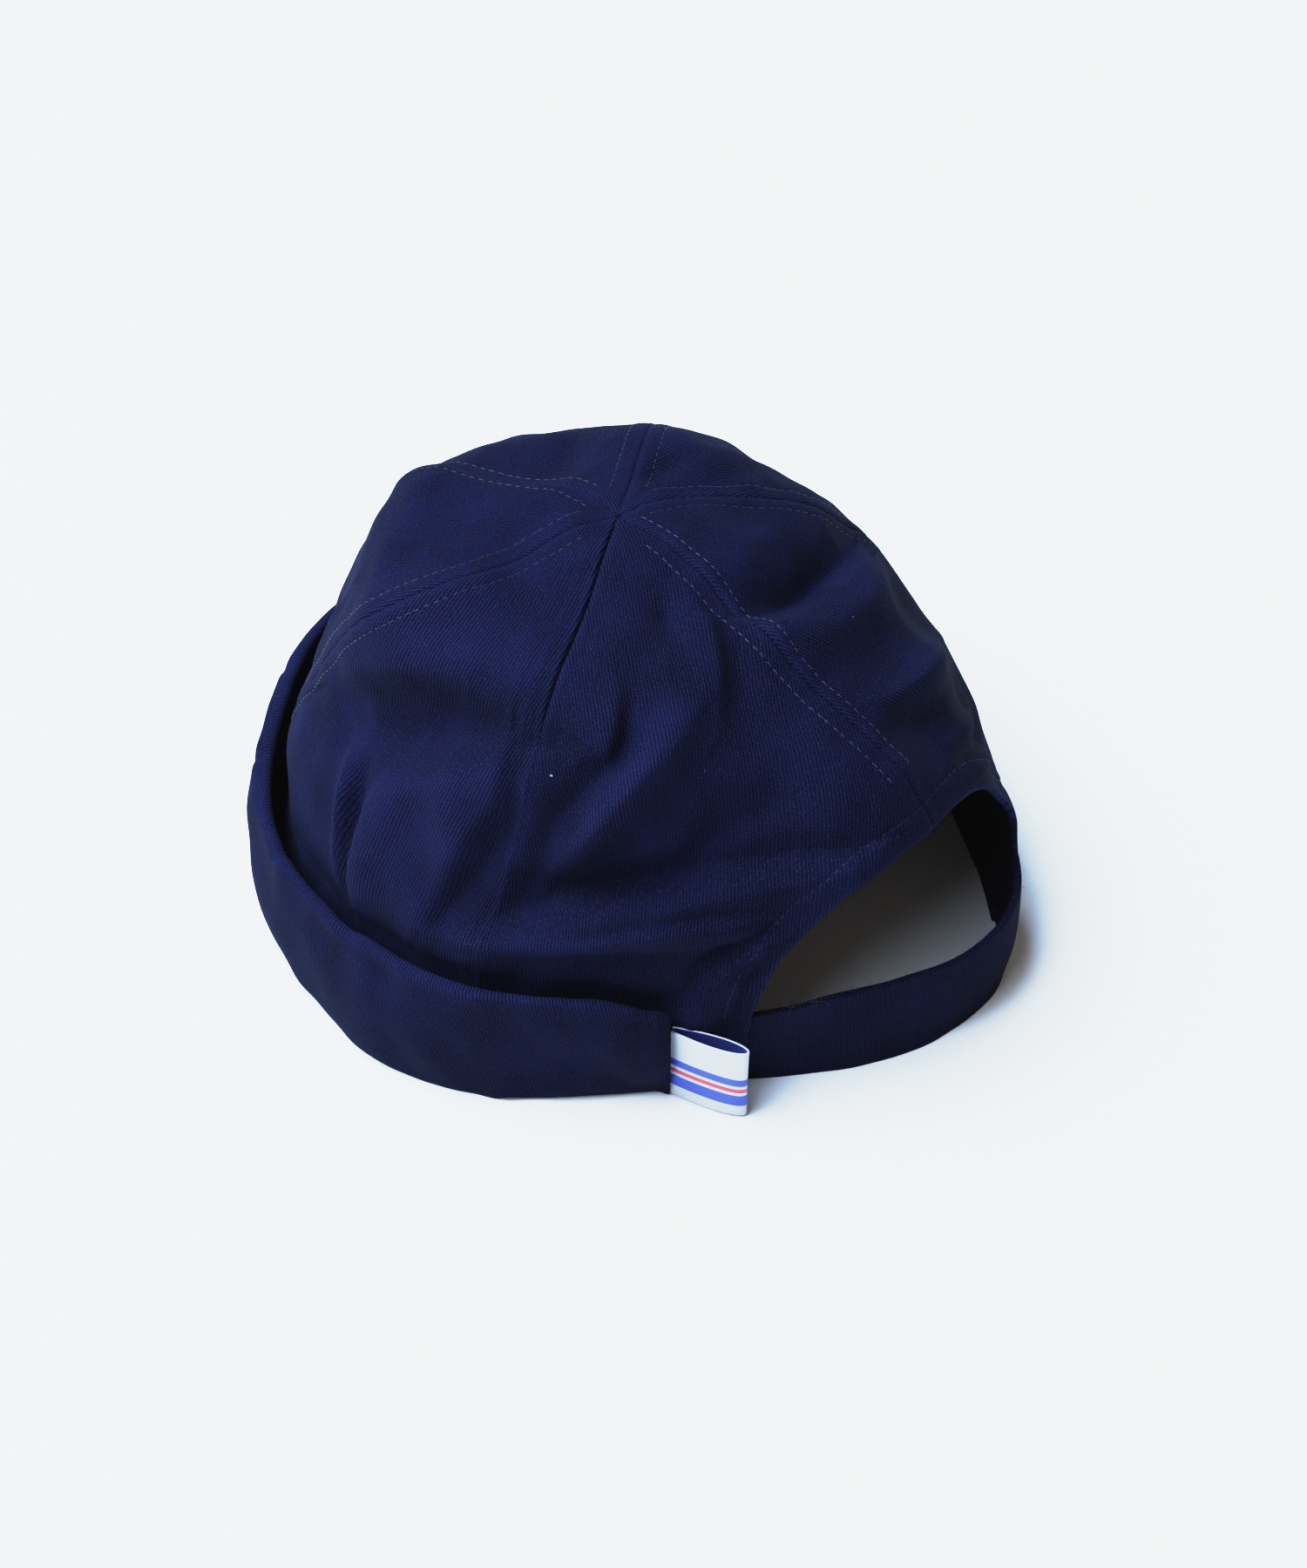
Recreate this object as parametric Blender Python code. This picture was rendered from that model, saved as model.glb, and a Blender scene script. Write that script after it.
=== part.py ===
"""Fisherman cap of cotton twill, lying on its rim: six crown panels, a turned-up cuff, a back
strap and a ribbon loop.

Everything lies on one crown surface. SECTIONS gives that surface's shape at turns round the cap,
and FOLDS raises or sinks it. A turn is in degrees from the centre back towards the wearer's left.
A level runs down the crown from 0 at its top to 1 at the rim.

Frame: origin on the floor, at the middle of the cap's bounding box, +X the wearer's left, +Y the
back, +Z up. In metres.
"""

import math

import bmesh
import bpy
import numpy as np
from mathutils import Matrix

# Sizes of the whole cap
CROWN_HEIGHT = 0.120
HALF_LENGTH = 0.100
CLOTH = 0.0016
GAP = 0.0003
TIP_RADIUS = 0.0014

# The turned-up cuff
CUFF_HEIGHT = 0.038
CUFF_THICKNESS = 0.0036
CUFF_BELLY = 0.0016
CUFF_LEAN = 0.0050
CUFF_LEAN_POWER = 1.5
CUFF_BELLY_POWER = 0.8
CUFF_LEFT_END = 39.7
CUFF_RIGHT_END = 322.0
CUFF_SECTIONS = (
    # place from the left end to the right, then shares of CUFF_HEIGHT, CUFF_LEAN, CUFF_THICKNESS
    (0.00, 0.87, 0.25, 0.80),
    (0.06, 0.96, 0.50, 1.00),
    (0.18, 0.99, 0.72, 1.00),
    (0.28, 1.00, 0.95, 1.00),
    (0.39, 1.00, 1.00, 1.00),
    (0.50, 1.00, 0.80, 1.00),
    (0.71, 1.00, 0.50, 1.00),
    (0.90, 0.97, 0.10, 0.80),
    (1.00, 0.87, 0.00, 0.70),
)

# The arched opening at the back and the strap across it
ARCH_HEIGHT = 0.075
ARCH_MIDDLE = 0.0
ARCH_HALF_TURN = 27.0
ARCH_POWER = 2.6
STRAP_HEIGHT = 0.029
STRAP_THICKNESS = 0.0020
STRAP_UPRIGHT_TURN = 8.0  # where it stands upright, and how far to each side
STRAP_UPRIGHT_SPREAD = 13.0

# The folded ribbon at the cuff's left end
RIBBON = 0.0010
LOOP_LENGTH = 0.0200
LOOP_WIDTH = 0.0062
LOOP_HEIGHT = 0.0262
LOOP_LEAN = 0.0020
LOOP_SWING = 24.0
LOOP_FLOOR_GAP = 0.0006

# A meridian's knots: the crest and brow hold a share of HALF_LENGTH as their reach, the three below
# them a share of CROWN_HEIGHT. The apex lies to the left and back of the rim's middle
CREST_SHARE = 0.26
BROW_SHARE = 0.56
SHOULDER_SHARE = 0.66
WAIST_SHARE = 0.38
FOOT_SHARE = 0.14
APEX_LEFT_SHARE = 0.02
APEX_BACK_SHARE = 0.01

# crest and brow are heights as shares of CROWN_HEIGHT, the others reaches as shares of HALF_LENGTH
SECTIONS = (
    # turn, crest, brow, shoulder, waist, foot, rim
    (0, 0.980, 0.885, 0.97, 1.05, 1.06, 1.04),
    (22, 0.985, 0.900, 0.85, 0.95, 0.91, 0.89),
    (45, 0.985, 0.915, 0.77, 0.86, 0.84, 0.82),
    (70, 0.985, 0.915, 0.74, 0.87, 0.87, 0.86),
    (95, 0.990, 0.925, 0.74, 0.86, 0.91, 0.91),
    (120, 0.995, 0.940, 0.74, 0.88, 0.92, 0.91),
    (150, 0.990, 0.950, 0.73, 0.84, 0.90, 0.90),
    (180, 0.980, 0.890, 0.76, 0.86, 0.91, 0.91),
    (210, 0.970, 0.860, 0.74, 0.87, 0.92, 0.92),
    (240, 0.970, 0.860, 0.72, 0.86, 0.90, 0.90),
    (270, 0.970, 0.850, 0.70, 0.83, 0.88, 0.88),
    (300, 0.975, 0.860, 0.735, 0.87, 0.91, 0.90),
    (325, 0.980, 0.875, 0.80, 0.97, 1.00, 0.98),
    (342, 0.980, 0.880, 0.90, 1.08, 1.11, 1.09),
)

# Each fold runs from its first turn and level to its second. Its rise is a share of CROWN_HEIGHT,
# negative for a hollow, and its spread is a share of HALF_LENGTH
FOLDS = (
    # from turn, from level, to turn, to level, rise, spread
    (84, 0.755, 27, 0.665, 0.014, 0.045),  # ridge over the cuff, left
    (72, 0.650, 20, 0.550, -0.026, 0.080),  # long hollow above that ridge
    (86, 0.600, 76, 0.700, -0.012, 0.060),  # hollow at the back left seam's foot
    (60, 0.560, 26, 0.300, 0.016, 0.060),  # rise up the back left panel
    (44, 0.490, 16, 0.470, -0.018, 0.090),  # hollow beside the arch's top
    (92, 0.100, 128, 0.480, 0.020, 0.080),  # ridge along the front left seam
    (118, 0.500, 76, 0.360, -0.028, 0.110),  # hollow on the left panel
    (110, 0.480, 98, 0.770, 0.014, 0.045),  # crease running down to the cuff
    (90, 0.480, 97, 0.770, 0.012, 0.045),  # crease meeting it there
    (84, 0.400, 78, 0.620, 0.010, 0.060),  # rise beside the back left seam
    (-4, 0.200, -58, 0.400, -0.034, 0.080),  # dent across the back right panel
    (0, 0.260, -62, 0.460, 0.016, 0.050),  # ridge under that dent
    (-8, 0.420, -50, 0.600, 0.016, 0.060),  # second ridge, nearer the arch
    (-6, 0.480, -24, 0.540, -0.014, 0.060),  # hollow over the arch
    (28, 0.700, 40, 0.800, -0.010, 0.030),  # gather at the arch's foot
    (157, 0.140, 165, 0.360, 0.008, 0.070),  # rise to the front corner
    (214, 0.340, 256, 0.560, -0.024, 0.100),  # dent on the front right
    (172, 0.680, 262, 0.690, 0.012, 0.050),  # ridge over the cuff, front and right
    (286, 0.300, 276, 0.680, 0.014, 0.060),  # fold down the right panel
)
FOLD_END_SHARE = 0.35
FOLD_STEPS = 8

# Turns of the six seams at the crown's top, halfway down it and at the rim
SEAMS = (
    # top, halfway, rim
    (0, -2, -4),  # centre back
    (60, 67, 79),  # back left
    (118, 124, 142),  # front left
    (175, 180, 190),  # centre front
    (238, 239, 242),  # front right
    (296, 296, 300),  # back right
)
PANELS = (
    "panel_back_left",
    "panel_left",
    "panel_front_left",
    "panel_front_right",
    "panel_right",
    "panel_back_right",
)

# How fine the meshes are. A back panel's columns end on the arch, down the strap's end and on the rim
PANEL_COLUMNS = 12
ARCH_COLUMNS = 6
FOOT_COLUMNS = 2
PANEL_ROWS = 22
CUFF_STATIONS = 76
CUFF_ROWS = 5
STRAP_STATIONS = 22
STRAP_ROWS = 4
LOOP_STATIONS = 26
LEVEL_SAMPLES = 161
NUDGE_TURN = 0.5
NUDGE_LEVEL = 0.004
SHARP_ANGLE = 50.0

NAVY = (0.010, 0.012, 0.045, 1.0)
RIBBON_WHITE = (0.80, 0.80, 0.78, 1.0)
TWILL_ROUGHNESS = 0.85
RIBBON_ROUGHNESS = 0.55

SECTION_TURNS = np.array([row[0] for row in SECTIONS], float)
SECTION_SHARES = np.array([row[1:] for row in SECTIONS])
SECTION_GAPS = np.diff(np.append(SECTION_TURNS, SECTION_TURNS[0] + 360))


def clear_scene():
    for obj in list(bpy.data.objects):
        bpy.data.objects.remove(obj)


def ring_slopes():
    """Slopes, per degree, of the smooth closed curve through the sections."""
    count = len(SECTION_TURNS)
    matrix = np.zeros((count, count))
    sides = np.zeros(SECTION_SHARES.shape)
    for i in range(count):
        after = (i + 1) % count
        wide_before = SECTION_GAPS[i - 1]
        wide_after = SECTION_GAPS[i]
        matrix[i, i - 1] = wide_after
        matrix[i, i] = 2 * (wide_before + wide_after)
        matrix[i, after] = wide_before
        step_before = (SECTION_SHARES[i] - SECTION_SHARES[i - 1]) / wide_before
        step_after = (SECTION_SHARES[after] - SECTION_SHARES[i]) / wide_after
        sides[i] = 3 * (wide_after * step_before + wide_before * step_after)
    return np.linalg.solve(matrix, sides)


SECTION_SLOPES = ring_slopes()


def hermite(start, start_slope, end, end_slope, share):
    """Cubic from start to end. The slopes are per whole step."""
    left = 1 - share
    return (
        start * left * left * (1 + 2 * share)
        + start_slope * left * left * share
        + end * share * share * (1 + 2 * left)
        - end_slope * share * share * left
    )


def shares_at(turn):
    """The six shares of the section at each turn."""
    turn = turn % 360
    before = np.searchsorted(SECTION_TURNS, turn, side="right") - 1
    after = (before + 1) % len(SECTION_TURNS)
    gap = SECTION_GAPS[before]
    share = ((turn - SECTION_TURNS[before]) / gap)[..., None]
    wide = gap[..., None]
    return hermite(
        SECTION_SHARES[before],
        SECTION_SLOPES[before] * wide,
        SECTION_SHARES[after],
        SECTION_SLOPES[after] * wide,
        share,
    )


def meridian_knots(turn):
    """Reach and height of the seven knots down the crown at each turn."""
    crest, brow, shoulder, waist, foot, rim = np.moveaxis(shares_at(turn), -1, 0)
    same = np.ones(turn.shape)
    reach = (0 * same, CREST_SHARE * same, BROW_SHARE * same, shoulder, waist, foot, rim)
    height = (
        same,
        crest,
        brow,
        SHOULDER_SHARE * same,
        WAIST_SHARE * same,
        FOOT_SHARE * same,
        0 * same,
    )
    return np.stack(
        [np.stack(reach, -1) * HALF_LENGTH, np.stack(height, -1) * CROWN_HEIGHT], -1
    )


def pick(values, index):
    """One entry of each row of knots."""
    if values.ndim > index.ndim + 1:
        return np.take_along_axis(values, index[..., None, None], -2)[..., 0, :]
    return np.take_along_axis(values, index[..., None], -1)[..., 0]


def smooth_meridian(knots, level):
    """Reach and height at a level, on a smooth curve through the knots."""
    steps = np.diff(knots, axis=-2)
    chords = np.linalg.norm(steps, axis=-1)
    run = np.concatenate([0 * chords[..., :1], np.cumsum(chords, -1)], -1)
    run = run / run[..., -1:]
    wide = np.diff(run, axis=-1)[..., None]
    rate = steps / wide
    slopes = np.empty_like(knots)
    slopes[..., 1:-1, :] = rate[..., :-1, :] * wide[..., 1:, :] + rate[..., 1:, :] * wide[..., :-1, :]
    slopes[..., 1:-1, :] /= wide[..., :-1, :] + wide[..., 1:, :]
    slopes[..., 0, :] = rate[..., 0, :]
    slopes[..., 0, 1] = 0.0
    slopes[..., -1, :] = rate[..., -1, :]
    before = np.clip((run[..., 1:] <= level[..., None]).sum(-1), 0, knots.shape[-2] - 2)
    start = pick(run, before)
    length = pick(run, before + 1) - start
    share = ((level - start) / length)[..., None]
    return hermite(
        pick(knots, before),
        pick(slopes, before) * length[..., None],
        pick(knots, before + 1),
        pick(slopes, before + 1) * length[..., None],
        share,
    )


def plain_crown(turn, level):
    """The crown's outer surface without its folds."""
    turn, level = np.broadcast_arrays(np.asarray(turn, float), np.asarray(level, float))
    reach, height = np.moveaxis(smooth_meridian(meridian_knots(turn), level), -1, 0)
    angle = np.radians(turn)
    lift = height / CROWN_HEIGHT * HALF_LENGTH
    across = APEX_LEFT_SHARE * lift + reach * np.sin(angle)
    back = APEX_BACK_SHARE * lift + reach * np.cos(angle)
    return np.stack([across, back, height], -1)


def unit(vectors):
    return vectors / np.linalg.norm(vectors, axis=-1, keepdims=True)


def outward(surface, turn, level):
    """Unit normals of a surface of turn and level, pointing out."""
    round_it = surface(turn + NUDGE_TURN, level) - surface(turn - NUDGE_TURN, level)
    upper = np.maximum(level - NUDGE_LEVEL, 0)
    lower = np.minimum(level + NUDGE_LEVEL, 1)
    down_it = surface(turn, lower) - surface(turn, upper)
    return unit(np.cross(round_it, down_it))


def fold_lines():
    """Start and end points of the short straight pieces that make up each fold's line."""
    lines = []
    share = np.linspace(0, 1, FOLD_STEPS + 1)
    for from_turn, from_level, to_turn, to_level, rise, spread in FOLDS:
        turn = from_turn + (to_turn - from_turn) * share
        level = from_level + (to_level - from_level) * share
        lines.append((plain_crown(turn, level), share, rise * CROWN_HEIGHT, spread * HALF_LENGTH))
    return lines


FOLD_LINES = fold_lines()


def fold_rise(points):
    """How far the folds lift each point of the plain crown."""
    total = np.zeros(points.shape[:-1])
    for line, share, rise, spread in FOLD_LINES:
        nearest = np.full(points.shape[:-1], np.inf)
        place = np.zeros(points.shape[:-1])
        for start, end, low, high in zip(line, line[1:], share, share[1:]):
            step = end - start
            along = np.clip((points - start) @ step / (step @ step), 0, 1)
            distance = np.linalg.norm(points - start - along[..., None] * step, axis=-1)
            closer = distance < nearest
            nearest = np.where(closer, distance, nearest)
            place = np.where(closer, low + (high - low) * along, place)
        taper = FOLD_END_SHARE + (1 - FOLD_END_SHARE) * np.sin(np.pi * place)
        total += rise * taper * np.exp(-((nearest / spread) ** 2))
    return total


def crown(turn, level):
    """The crown's outer surface with its folds."""
    turn, level = np.broadcast_arrays(np.asarray(turn, float), np.asarray(level, float))
    plain = plain_crown(turn, level)
    return plain + outward(plain_crown, turn, level) * fold_rise(plain)[..., None]


def level_at(turn, height):
    """The level at which the crown is at this height, for each turn."""
    turn, height = np.broadcast_arrays(np.asarray(turn, float), np.asarray(height, float))
    levels = np.linspace(0, 1, LEVEL_SAMPLES)
    found = np.empty(turn.shape)
    for index in np.ndindex(turn.shape):
        heights = plain_crown(turn[index], levels)[:, 2]
        found[index] = np.interp(-height[index], -heights, levels)
    return found


def wall(turn, height, offset):
    """Points beside the crown's foot, level with it and offset outwards in plan."""
    turn = np.asarray(turn, float)
    level = level_at(turn, height)
    points = crown(turn, level)
    points[..., 2] = height
    round_it = crown(turn + NUDGE_TURN, level) - crown(turn - NUDGE_TURN, level)
    out = unit(np.cross(round_it, np.array([0.0, 0.0, -1.0])))
    return points + out * np.asarray(offset)[..., None]


def arch_height(turn):
    """Height of the arched opening's edge."""
    share = np.clip(np.abs(turn - ARCH_MIDDLE) / ARCH_HALF_TURN, 0, 1)
    return STRAP_HEIGHT + (ARCH_HEIGHT - STRAP_HEIGHT) * np.sqrt(1 - share**ARCH_POWER)


def seam_turn(seam, level):
    """A seam's turn at a level: the curve through its three turns."""
    top, halfway, rim = seam
    bend = 2 * (top + rim - 2 * halfway)
    return top + (rim - top - bend) * level + bend * level**2


def rim_path():
    """Where a whole panel's columns end: their places across it and their levels."""
    return np.linspace(0, 1, PANEL_COLUMNS + 1), np.ones(PANEL_COLUMNS + 1)


def arch_path(first, second):
    """Where a back panel's columns end: along the arch, down the strap's end, along the rim."""
    left_side = seam_turn(second, 1.0) > ARCH_MIDDLE + ARCH_HALF_TURN
    foot = ARCH_MIDDLE + ARCH_HALF_TURN * (1 if left_side else -1)
    middle_seam = first if left_side else second
    rim_columns = PANEL_COLUMNS - ARCH_COLUMNS - FOOT_COLUMNS
    seam_end = seam_turn(middle_seam, float(level_at(ARCH_MIDDLE, ARCH_HEIGHT)))
    start = math.asin((seam_end - ARCH_MIDDLE) / ARCH_HALF_TURN)
    stop = math.pi / 2 if left_side else -math.pi / 2
    arch_turns = ARCH_MIDDLE + ARCH_HALF_TURN * np.sin(np.linspace(start, stop, ARCH_COLUMNS + 1))
    arch_levels = level_at(arch_turns, arch_height(arch_turns))
    foot_levels = np.linspace(arch_levels[-1], 1, FOOT_COLUMNS + 1)[1:]
    rim_turn = seam_turn(second if left_side else first, 1.0)
    rim_turns = np.linspace(foot, rim_turn, rim_columns + 1)[1:]
    turns = np.concatenate([arch_turns, np.full(FOOT_COLUMNS, foot), rim_turns])
    levels = np.concatenate([arch_levels, foot_levels, np.ones(rim_columns)])
    low = seam_turn(first, levels)
    high = seam_turn(second, levels)
    places = (turns - low) / (high - low)
    if not left_side:
        places, levels = places[::-1], levels[::-1]
    places[0], places[-1] = 0, 1
    return places, levels


def panel_grid(first, second, path):
    """Turn and level of each point of a panel, rows down it and columns across it."""
    places, ends = path
    meridian = plain_crown(0.0, np.linspace(0, 1, LEVEL_SAMPLES))
    length = np.linalg.norm(np.diff(meridian, axis=0), axis=1).sum()
    tip = TIP_RADIUS / length
    down = np.linspace(0, 1, PANEL_ROWS + 1)[:, None]
    level = tip + (ends - tip) * down
    even = np.linspace(0, 1, len(places))
    place = even + (places - even) * down**2
    low = seam_turn(first, level)
    high = seam_turn(second, level)
    width = np.linalg.norm(plain_crown(high, level) - plain_crown(low, level), axis=-1)
    inset = GAP / 2 / width
    place = inset + (1 - 2 * inset) * place
    return low + (high - low) * place, level


def add_object(name, points, faces, colour, roughness):
    build = bmesh.new()
    corners = [build.verts.new(point) for point in points]
    for face in faces:
        build.faces.new([corners[index] for index in face])
    bmesh.ops.recalc_face_normals(build, faces=build.faces)
    mesh = bpy.data.meshes.new(name)
    build.to_mesh(mesh)
    build.free()
    mesh.shade_smooth()
    mesh.set_sharp_from_angle(angle=math.radians(SHARP_ANGLE))
    material = bpy.data.materials.new(name + "_cloth")
    material.use_nodes = True
    shader = material.node_tree.nodes["Principled BSDF"]
    shader.inputs["Base Color"].default_value = colour
    shader.inputs["Roughness"].default_value = roughness
    shader.inputs["Metallic"].default_value = 0.0
    material.diffuse_color = colour
    mesh.materials.append(material)
    obj = bpy.data.objects.new(name, mesh)
    bpy.context.scene.collection.objects.link(obj)
    return obj


def shell(name, outer, inner, colour, roughness):
    """A closed wall between two grids of points that match, rows down and columns across."""
    rows, columns = outer.shape[:2]
    count = rows * columns
    faces = []
    for row in range(rows - 1):
        for column in range(columns - 1):
            corner = row * columns + column
            quad = (corner, corner + columns, corner + columns + 1, corner + 1)
            faces.append(quad)
            faces.append(tuple(count + index for index in reversed(quad)))
    top = list(range(columns))
    right = [row * columns + columns - 1 for row in range(rows)]
    bottom = [(rows - 1) * columns + column for column in reversed(range(columns))]
    left = [row * columns for row in reversed(range(rows))]
    for edge in (top, right, bottom, left):
        for a, b in zip(edge, edge[1:]):
            faces.append((a, b, count + b, count + a))
    points = np.concatenate([outer.reshape(-1, 3), inner.reshape(-1, 3)])
    return add_object(name, points, faces, colour, roughness)


def swept(name, sections, colour, roughness):
    """A closed solid through rings of points, one ring a station, with flat ends."""
    stations, ring = sections.shape[:2]
    faces = []
    for station in range(stations - 1):
        for index in range(ring):
            after = (index + 1) % ring
            a = station * ring + index
            b = station * ring + after
            faces.append((a, b, b + ring, a + ring))
    faces.append(tuple(reversed(range(ring))))
    faces.append(tuple((stations - 1) * ring + index for index in range(ring)))
    return add_object(name, sections.reshape(-1, 3), faces, colour, roughness)


def make_panel(name, first, second, path):
    turn, level = panel_grid(first, second, path)
    outer = crown(turn, level)
    inner = outer - outward(crown, turn, level) * CLOTH
    at_rim = np.isclose(level, 1)
    inner[..., 2] = np.where(at_rim, 0.0, np.maximum(inner[..., 2], 0.0))
    return shell(name, outer, inner, NAVY, TWILL_ROUGHNESS)


def cuff_shares(place):
    """Height, lean and thickness shares at a place along the cuff, on smooth curves."""
    rows = np.array(CUFF_SECTIONS)
    places = rows[:, 0]
    slopes = np.gradient(rows[:, 1:], places, axis=0)
    before = min(int(np.searchsorted(places, place, side="right")), len(places) - 1) - 1
    gap = places[before + 1] - places[before]
    share = (place - places[before]) / gap
    start, end = rows[before : before + 2, 1:]
    return hermite(start, slopes[before] * gap, end, slopes[before + 1] * gap, share)


def cuff_section(turn):
    """One ring of the cuff: up its inner side, over the rounded top, down the bellied outer side."""
    place = (turn - CUFF_LEFT_END) / (CUFF_RIGHT_END - CUFF_LEFT_END)
    height_share, lean_share, thickness_share = cuff_shares(place)
    thickness = CUFF_THICKNESS * thickness_share
    half = thickness / 2
    shoulder = CUFF_HEIGHT * height_share - half
    rise = np.linspace(0, 1, CUFF_ROWS + 1)
    inside = GAP + CUFF_LEAN * lean_share * rise**CUFF_LEAN_POWER
    outside = inside + thickness + CUFF_BELLY * np.sin(np.pi * rise**CUFF_BELLY_POWER)
    over = np.linspace(np.pi, 0, CUFF_ROWS + 1)[1:-1]
    middle = (inside[-1] + outside[-1]) / 2
    offsets = np.concatenate([inside, middle + half * np.cos(over), outside[::-1]])
    heights = np.concatenate([shoulder * rise, shoulder + half * np.sin(over), shoulder * rise[::-1]])
    return wall(np.full(len(offsets), turn), heights, offsets)


def make_cuff():
    turns = np.linspace(CUFF_LEFT_END, CUFF_RIGHT_END, CUFF_STATIONS + 1)
    sections = np.stack([cuff_section(turn) for turn in turns])
    return swept("cuff", sections, NAVY, TWILL_ROUGHNESS)


def strap_section(turn):
    """One ring of the strap: it stands upright near its middle and has the crown's lean at its ends."""
    rise = np.linspace(0, 1, STRAP_ROWS + 1)
    heights = np.concatenate([rise, rise[::-1]]) * STRAP_HEIGHT
    offsets = np.concatenate([-STRAP_THICKNESS + 0 * rise, 0 * rise])
    turns = np.full(len(heights), turn)
    leaning = wall(turns, heights, offsets)
    upright = wall(turns, 0 * heights, offsets)
    upright[:, 2] = heights
    lean_share = 1 - math.exp(-(((turn - STRAP_UPRIGHT_TURN) / STRAP_UPRIGHT_SPREAD) ** 2))
    return upright + (leaning - upright) * lean_share


def make_back_strap():
    """The band between the arch's feet, standing on its edge."""
    foot = plain_crown(ARCH_MIDDLE + ARCH_HALF_TURN, 1.0)
    clearance = math.degrees(GAP / math.hypot(foot[0], foot[1]))
    reach = ARCH_HALF_TURN - clearance
    turns = np.linspace(ARCH_MIDDLE + reach, ARCH_MIDDLE - reach, STRAP_STATIONS + 1)
    sections = np.stack([strap_section(turn) for turn in turns])
    return swept("back_strap", sections, NAVY, TWILL_ROUGHNESS)


def make_loop_label():
    """A ribbon folded into a drop-shaped loop, upright, both ends at the cuff's end."""
    start_turn = np.array([CUFF_LEFT_END])
    foot = wall(start_turn, np.zeros(1), np.zeros(1))[0]
    root = wall(start_turn, np.zeros(1), np.array([GAP + CUFF_THICKNESS - RIBBON]))[0]
    out = unit(root - foot)
    along = np.array([-out[1], out[0], 0.0])
    swing = math.radians(LOOP_SWING)
    forward = along * math.cos(swing) + out * math.sin(swing)
    side = out * math.cos(swing) - along * math.sin(swing)
    opening = RIBBON + GAP
    phase = np.linspace(0, 2 * np.pi, LOOP_STATIONS + 1)
    length = LOOP_LENGTH * (1 - np.cos(phase)) / 2
    belly = (LOOP_WIDTH - RIBBON - opening) / 2 * np.sin(phase) * np.sin(phase / 2)
    apart = opening / 2 * np.cos(phase / 2) + belly
    start = root + along * (GAP + RIBBON / 2)
    path = start + forward * length[:, None] + side * apart[:, None]
    tangent = unit(np.gradient(path, axis=0))
    normal = np.stack([tangent[:, 1], -tangent[:, 0], 0 * tangent[:, 0]], -1) * RIBBON / 2
    low = np.array([0.0, 0.0, LOOP_FLOOR_GAP])
    high = low + np.array([0.0, 0.0, LOOP_HEIGHT]) + out * LOOP_LEAN
    ring = [path + normal + low, path + normal + high, path - normal + high, path - normal + low]
    return swept("loop_label", np.stack(ring, 1), RIBBON_WHITE, RIBBON_ROUGHNESS)


def centre_on_floor(pieces):
    """Moves the pieces together, so that the middle of their box is over the origin."""
    corners = np.array([vertex.co for piece in pieces for vertex in piece.data.vertices])
    middle = (corners.min(axis=0) + corners.max(axis=0)) / 2
    shift = Matrix.Translation((-middle[0], -middle[1], 0.0))
    for piece in pieces:
        piece.data.transform(shift)


def main():
    clear_scene()
    pieces = []
    for index, name in enumerate(PANELS):
        first = SEAMS[index]
        second = SEAMS[(index + 1) % len(SEAMS)]
        if second[0] < first[0]:
            second = tuple(turn + 360 for turn in second)
        if name == "panel_back_left":
            path = arch_path(first, second)
        elif name == "panel_back_right":
            first = tuple(turn - 360 for turn in first)
            second = tuple(turn - 360 for turn in second)
            path = arch_path(first, second)
        else:
            path = rim_path()
        pieces.append(make_panel(name, first, second, path))
    pieces.extend([make_cuff(), make_back_strap(), make_loop_label()])
    centre_on_floor(pieces)


main()
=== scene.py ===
import math

import bpy
import numpy as np
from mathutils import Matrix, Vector


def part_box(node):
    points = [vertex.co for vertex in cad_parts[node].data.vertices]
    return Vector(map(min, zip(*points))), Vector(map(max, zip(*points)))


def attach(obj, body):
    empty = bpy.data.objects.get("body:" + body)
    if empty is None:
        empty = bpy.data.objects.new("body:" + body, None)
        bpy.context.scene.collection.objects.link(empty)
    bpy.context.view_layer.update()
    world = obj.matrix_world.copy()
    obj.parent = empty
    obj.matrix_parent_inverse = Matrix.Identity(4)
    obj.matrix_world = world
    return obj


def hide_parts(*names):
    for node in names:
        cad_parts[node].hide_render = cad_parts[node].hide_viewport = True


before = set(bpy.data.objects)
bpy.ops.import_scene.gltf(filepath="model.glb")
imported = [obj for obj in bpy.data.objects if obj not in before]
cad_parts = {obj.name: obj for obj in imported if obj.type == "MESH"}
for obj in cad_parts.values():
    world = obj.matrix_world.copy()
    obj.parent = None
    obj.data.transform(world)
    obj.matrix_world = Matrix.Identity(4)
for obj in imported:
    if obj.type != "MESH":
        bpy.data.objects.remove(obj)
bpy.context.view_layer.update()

# Fisherman cap of navy cotton twill, lying on its rim: the looks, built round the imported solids.
# A turn is in degrees from the centre back towards the wearer's left. A level runs down the crown
# from 0 at its top to 1 at the rim. Lengths are in metres unless a name ends in Mm.

body = "root"
mm = 0.001
chance = np.random.default_rng(7)
print("frame: cap of", len(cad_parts), "solids")


# Small helpers for points

def unit(vectors):
    return vectors / np.linalg.norm(vectors, axis=-1, keepdims=True)


def smoothStep(low, high, value):
    share = np.clip((value - low) / (high - low), 0, 1)
    return share * share * (3 - 2 * share)


def bump(distance, spread, power=2.0):
    return np.exp(-np.abs(distance / spread) ** power)


inPlan = np.array([1, 1, 0])
upwards = np.array([0, 0, 1])


def runOf(points):  # length along a line of points, from 0
    return np.append(0, np.cumsum(np.linalg.norm(np.diff(points, axis=0), axis=1)))


def denseEnds(count, share=0.55):  # places from 0 to 1, closer together near both ends
    even = np.linspace(0, 1, count + 1)
    return (1 - share) * even + share * (0.5 - 0.5 * np.cos(np.pi * even))


def skinOf(grid):  # which way a grid faces at each point
    return unit(np.cross(np.gradient(grid, axis=1), np.gradient(grid, axis=0)))


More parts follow.
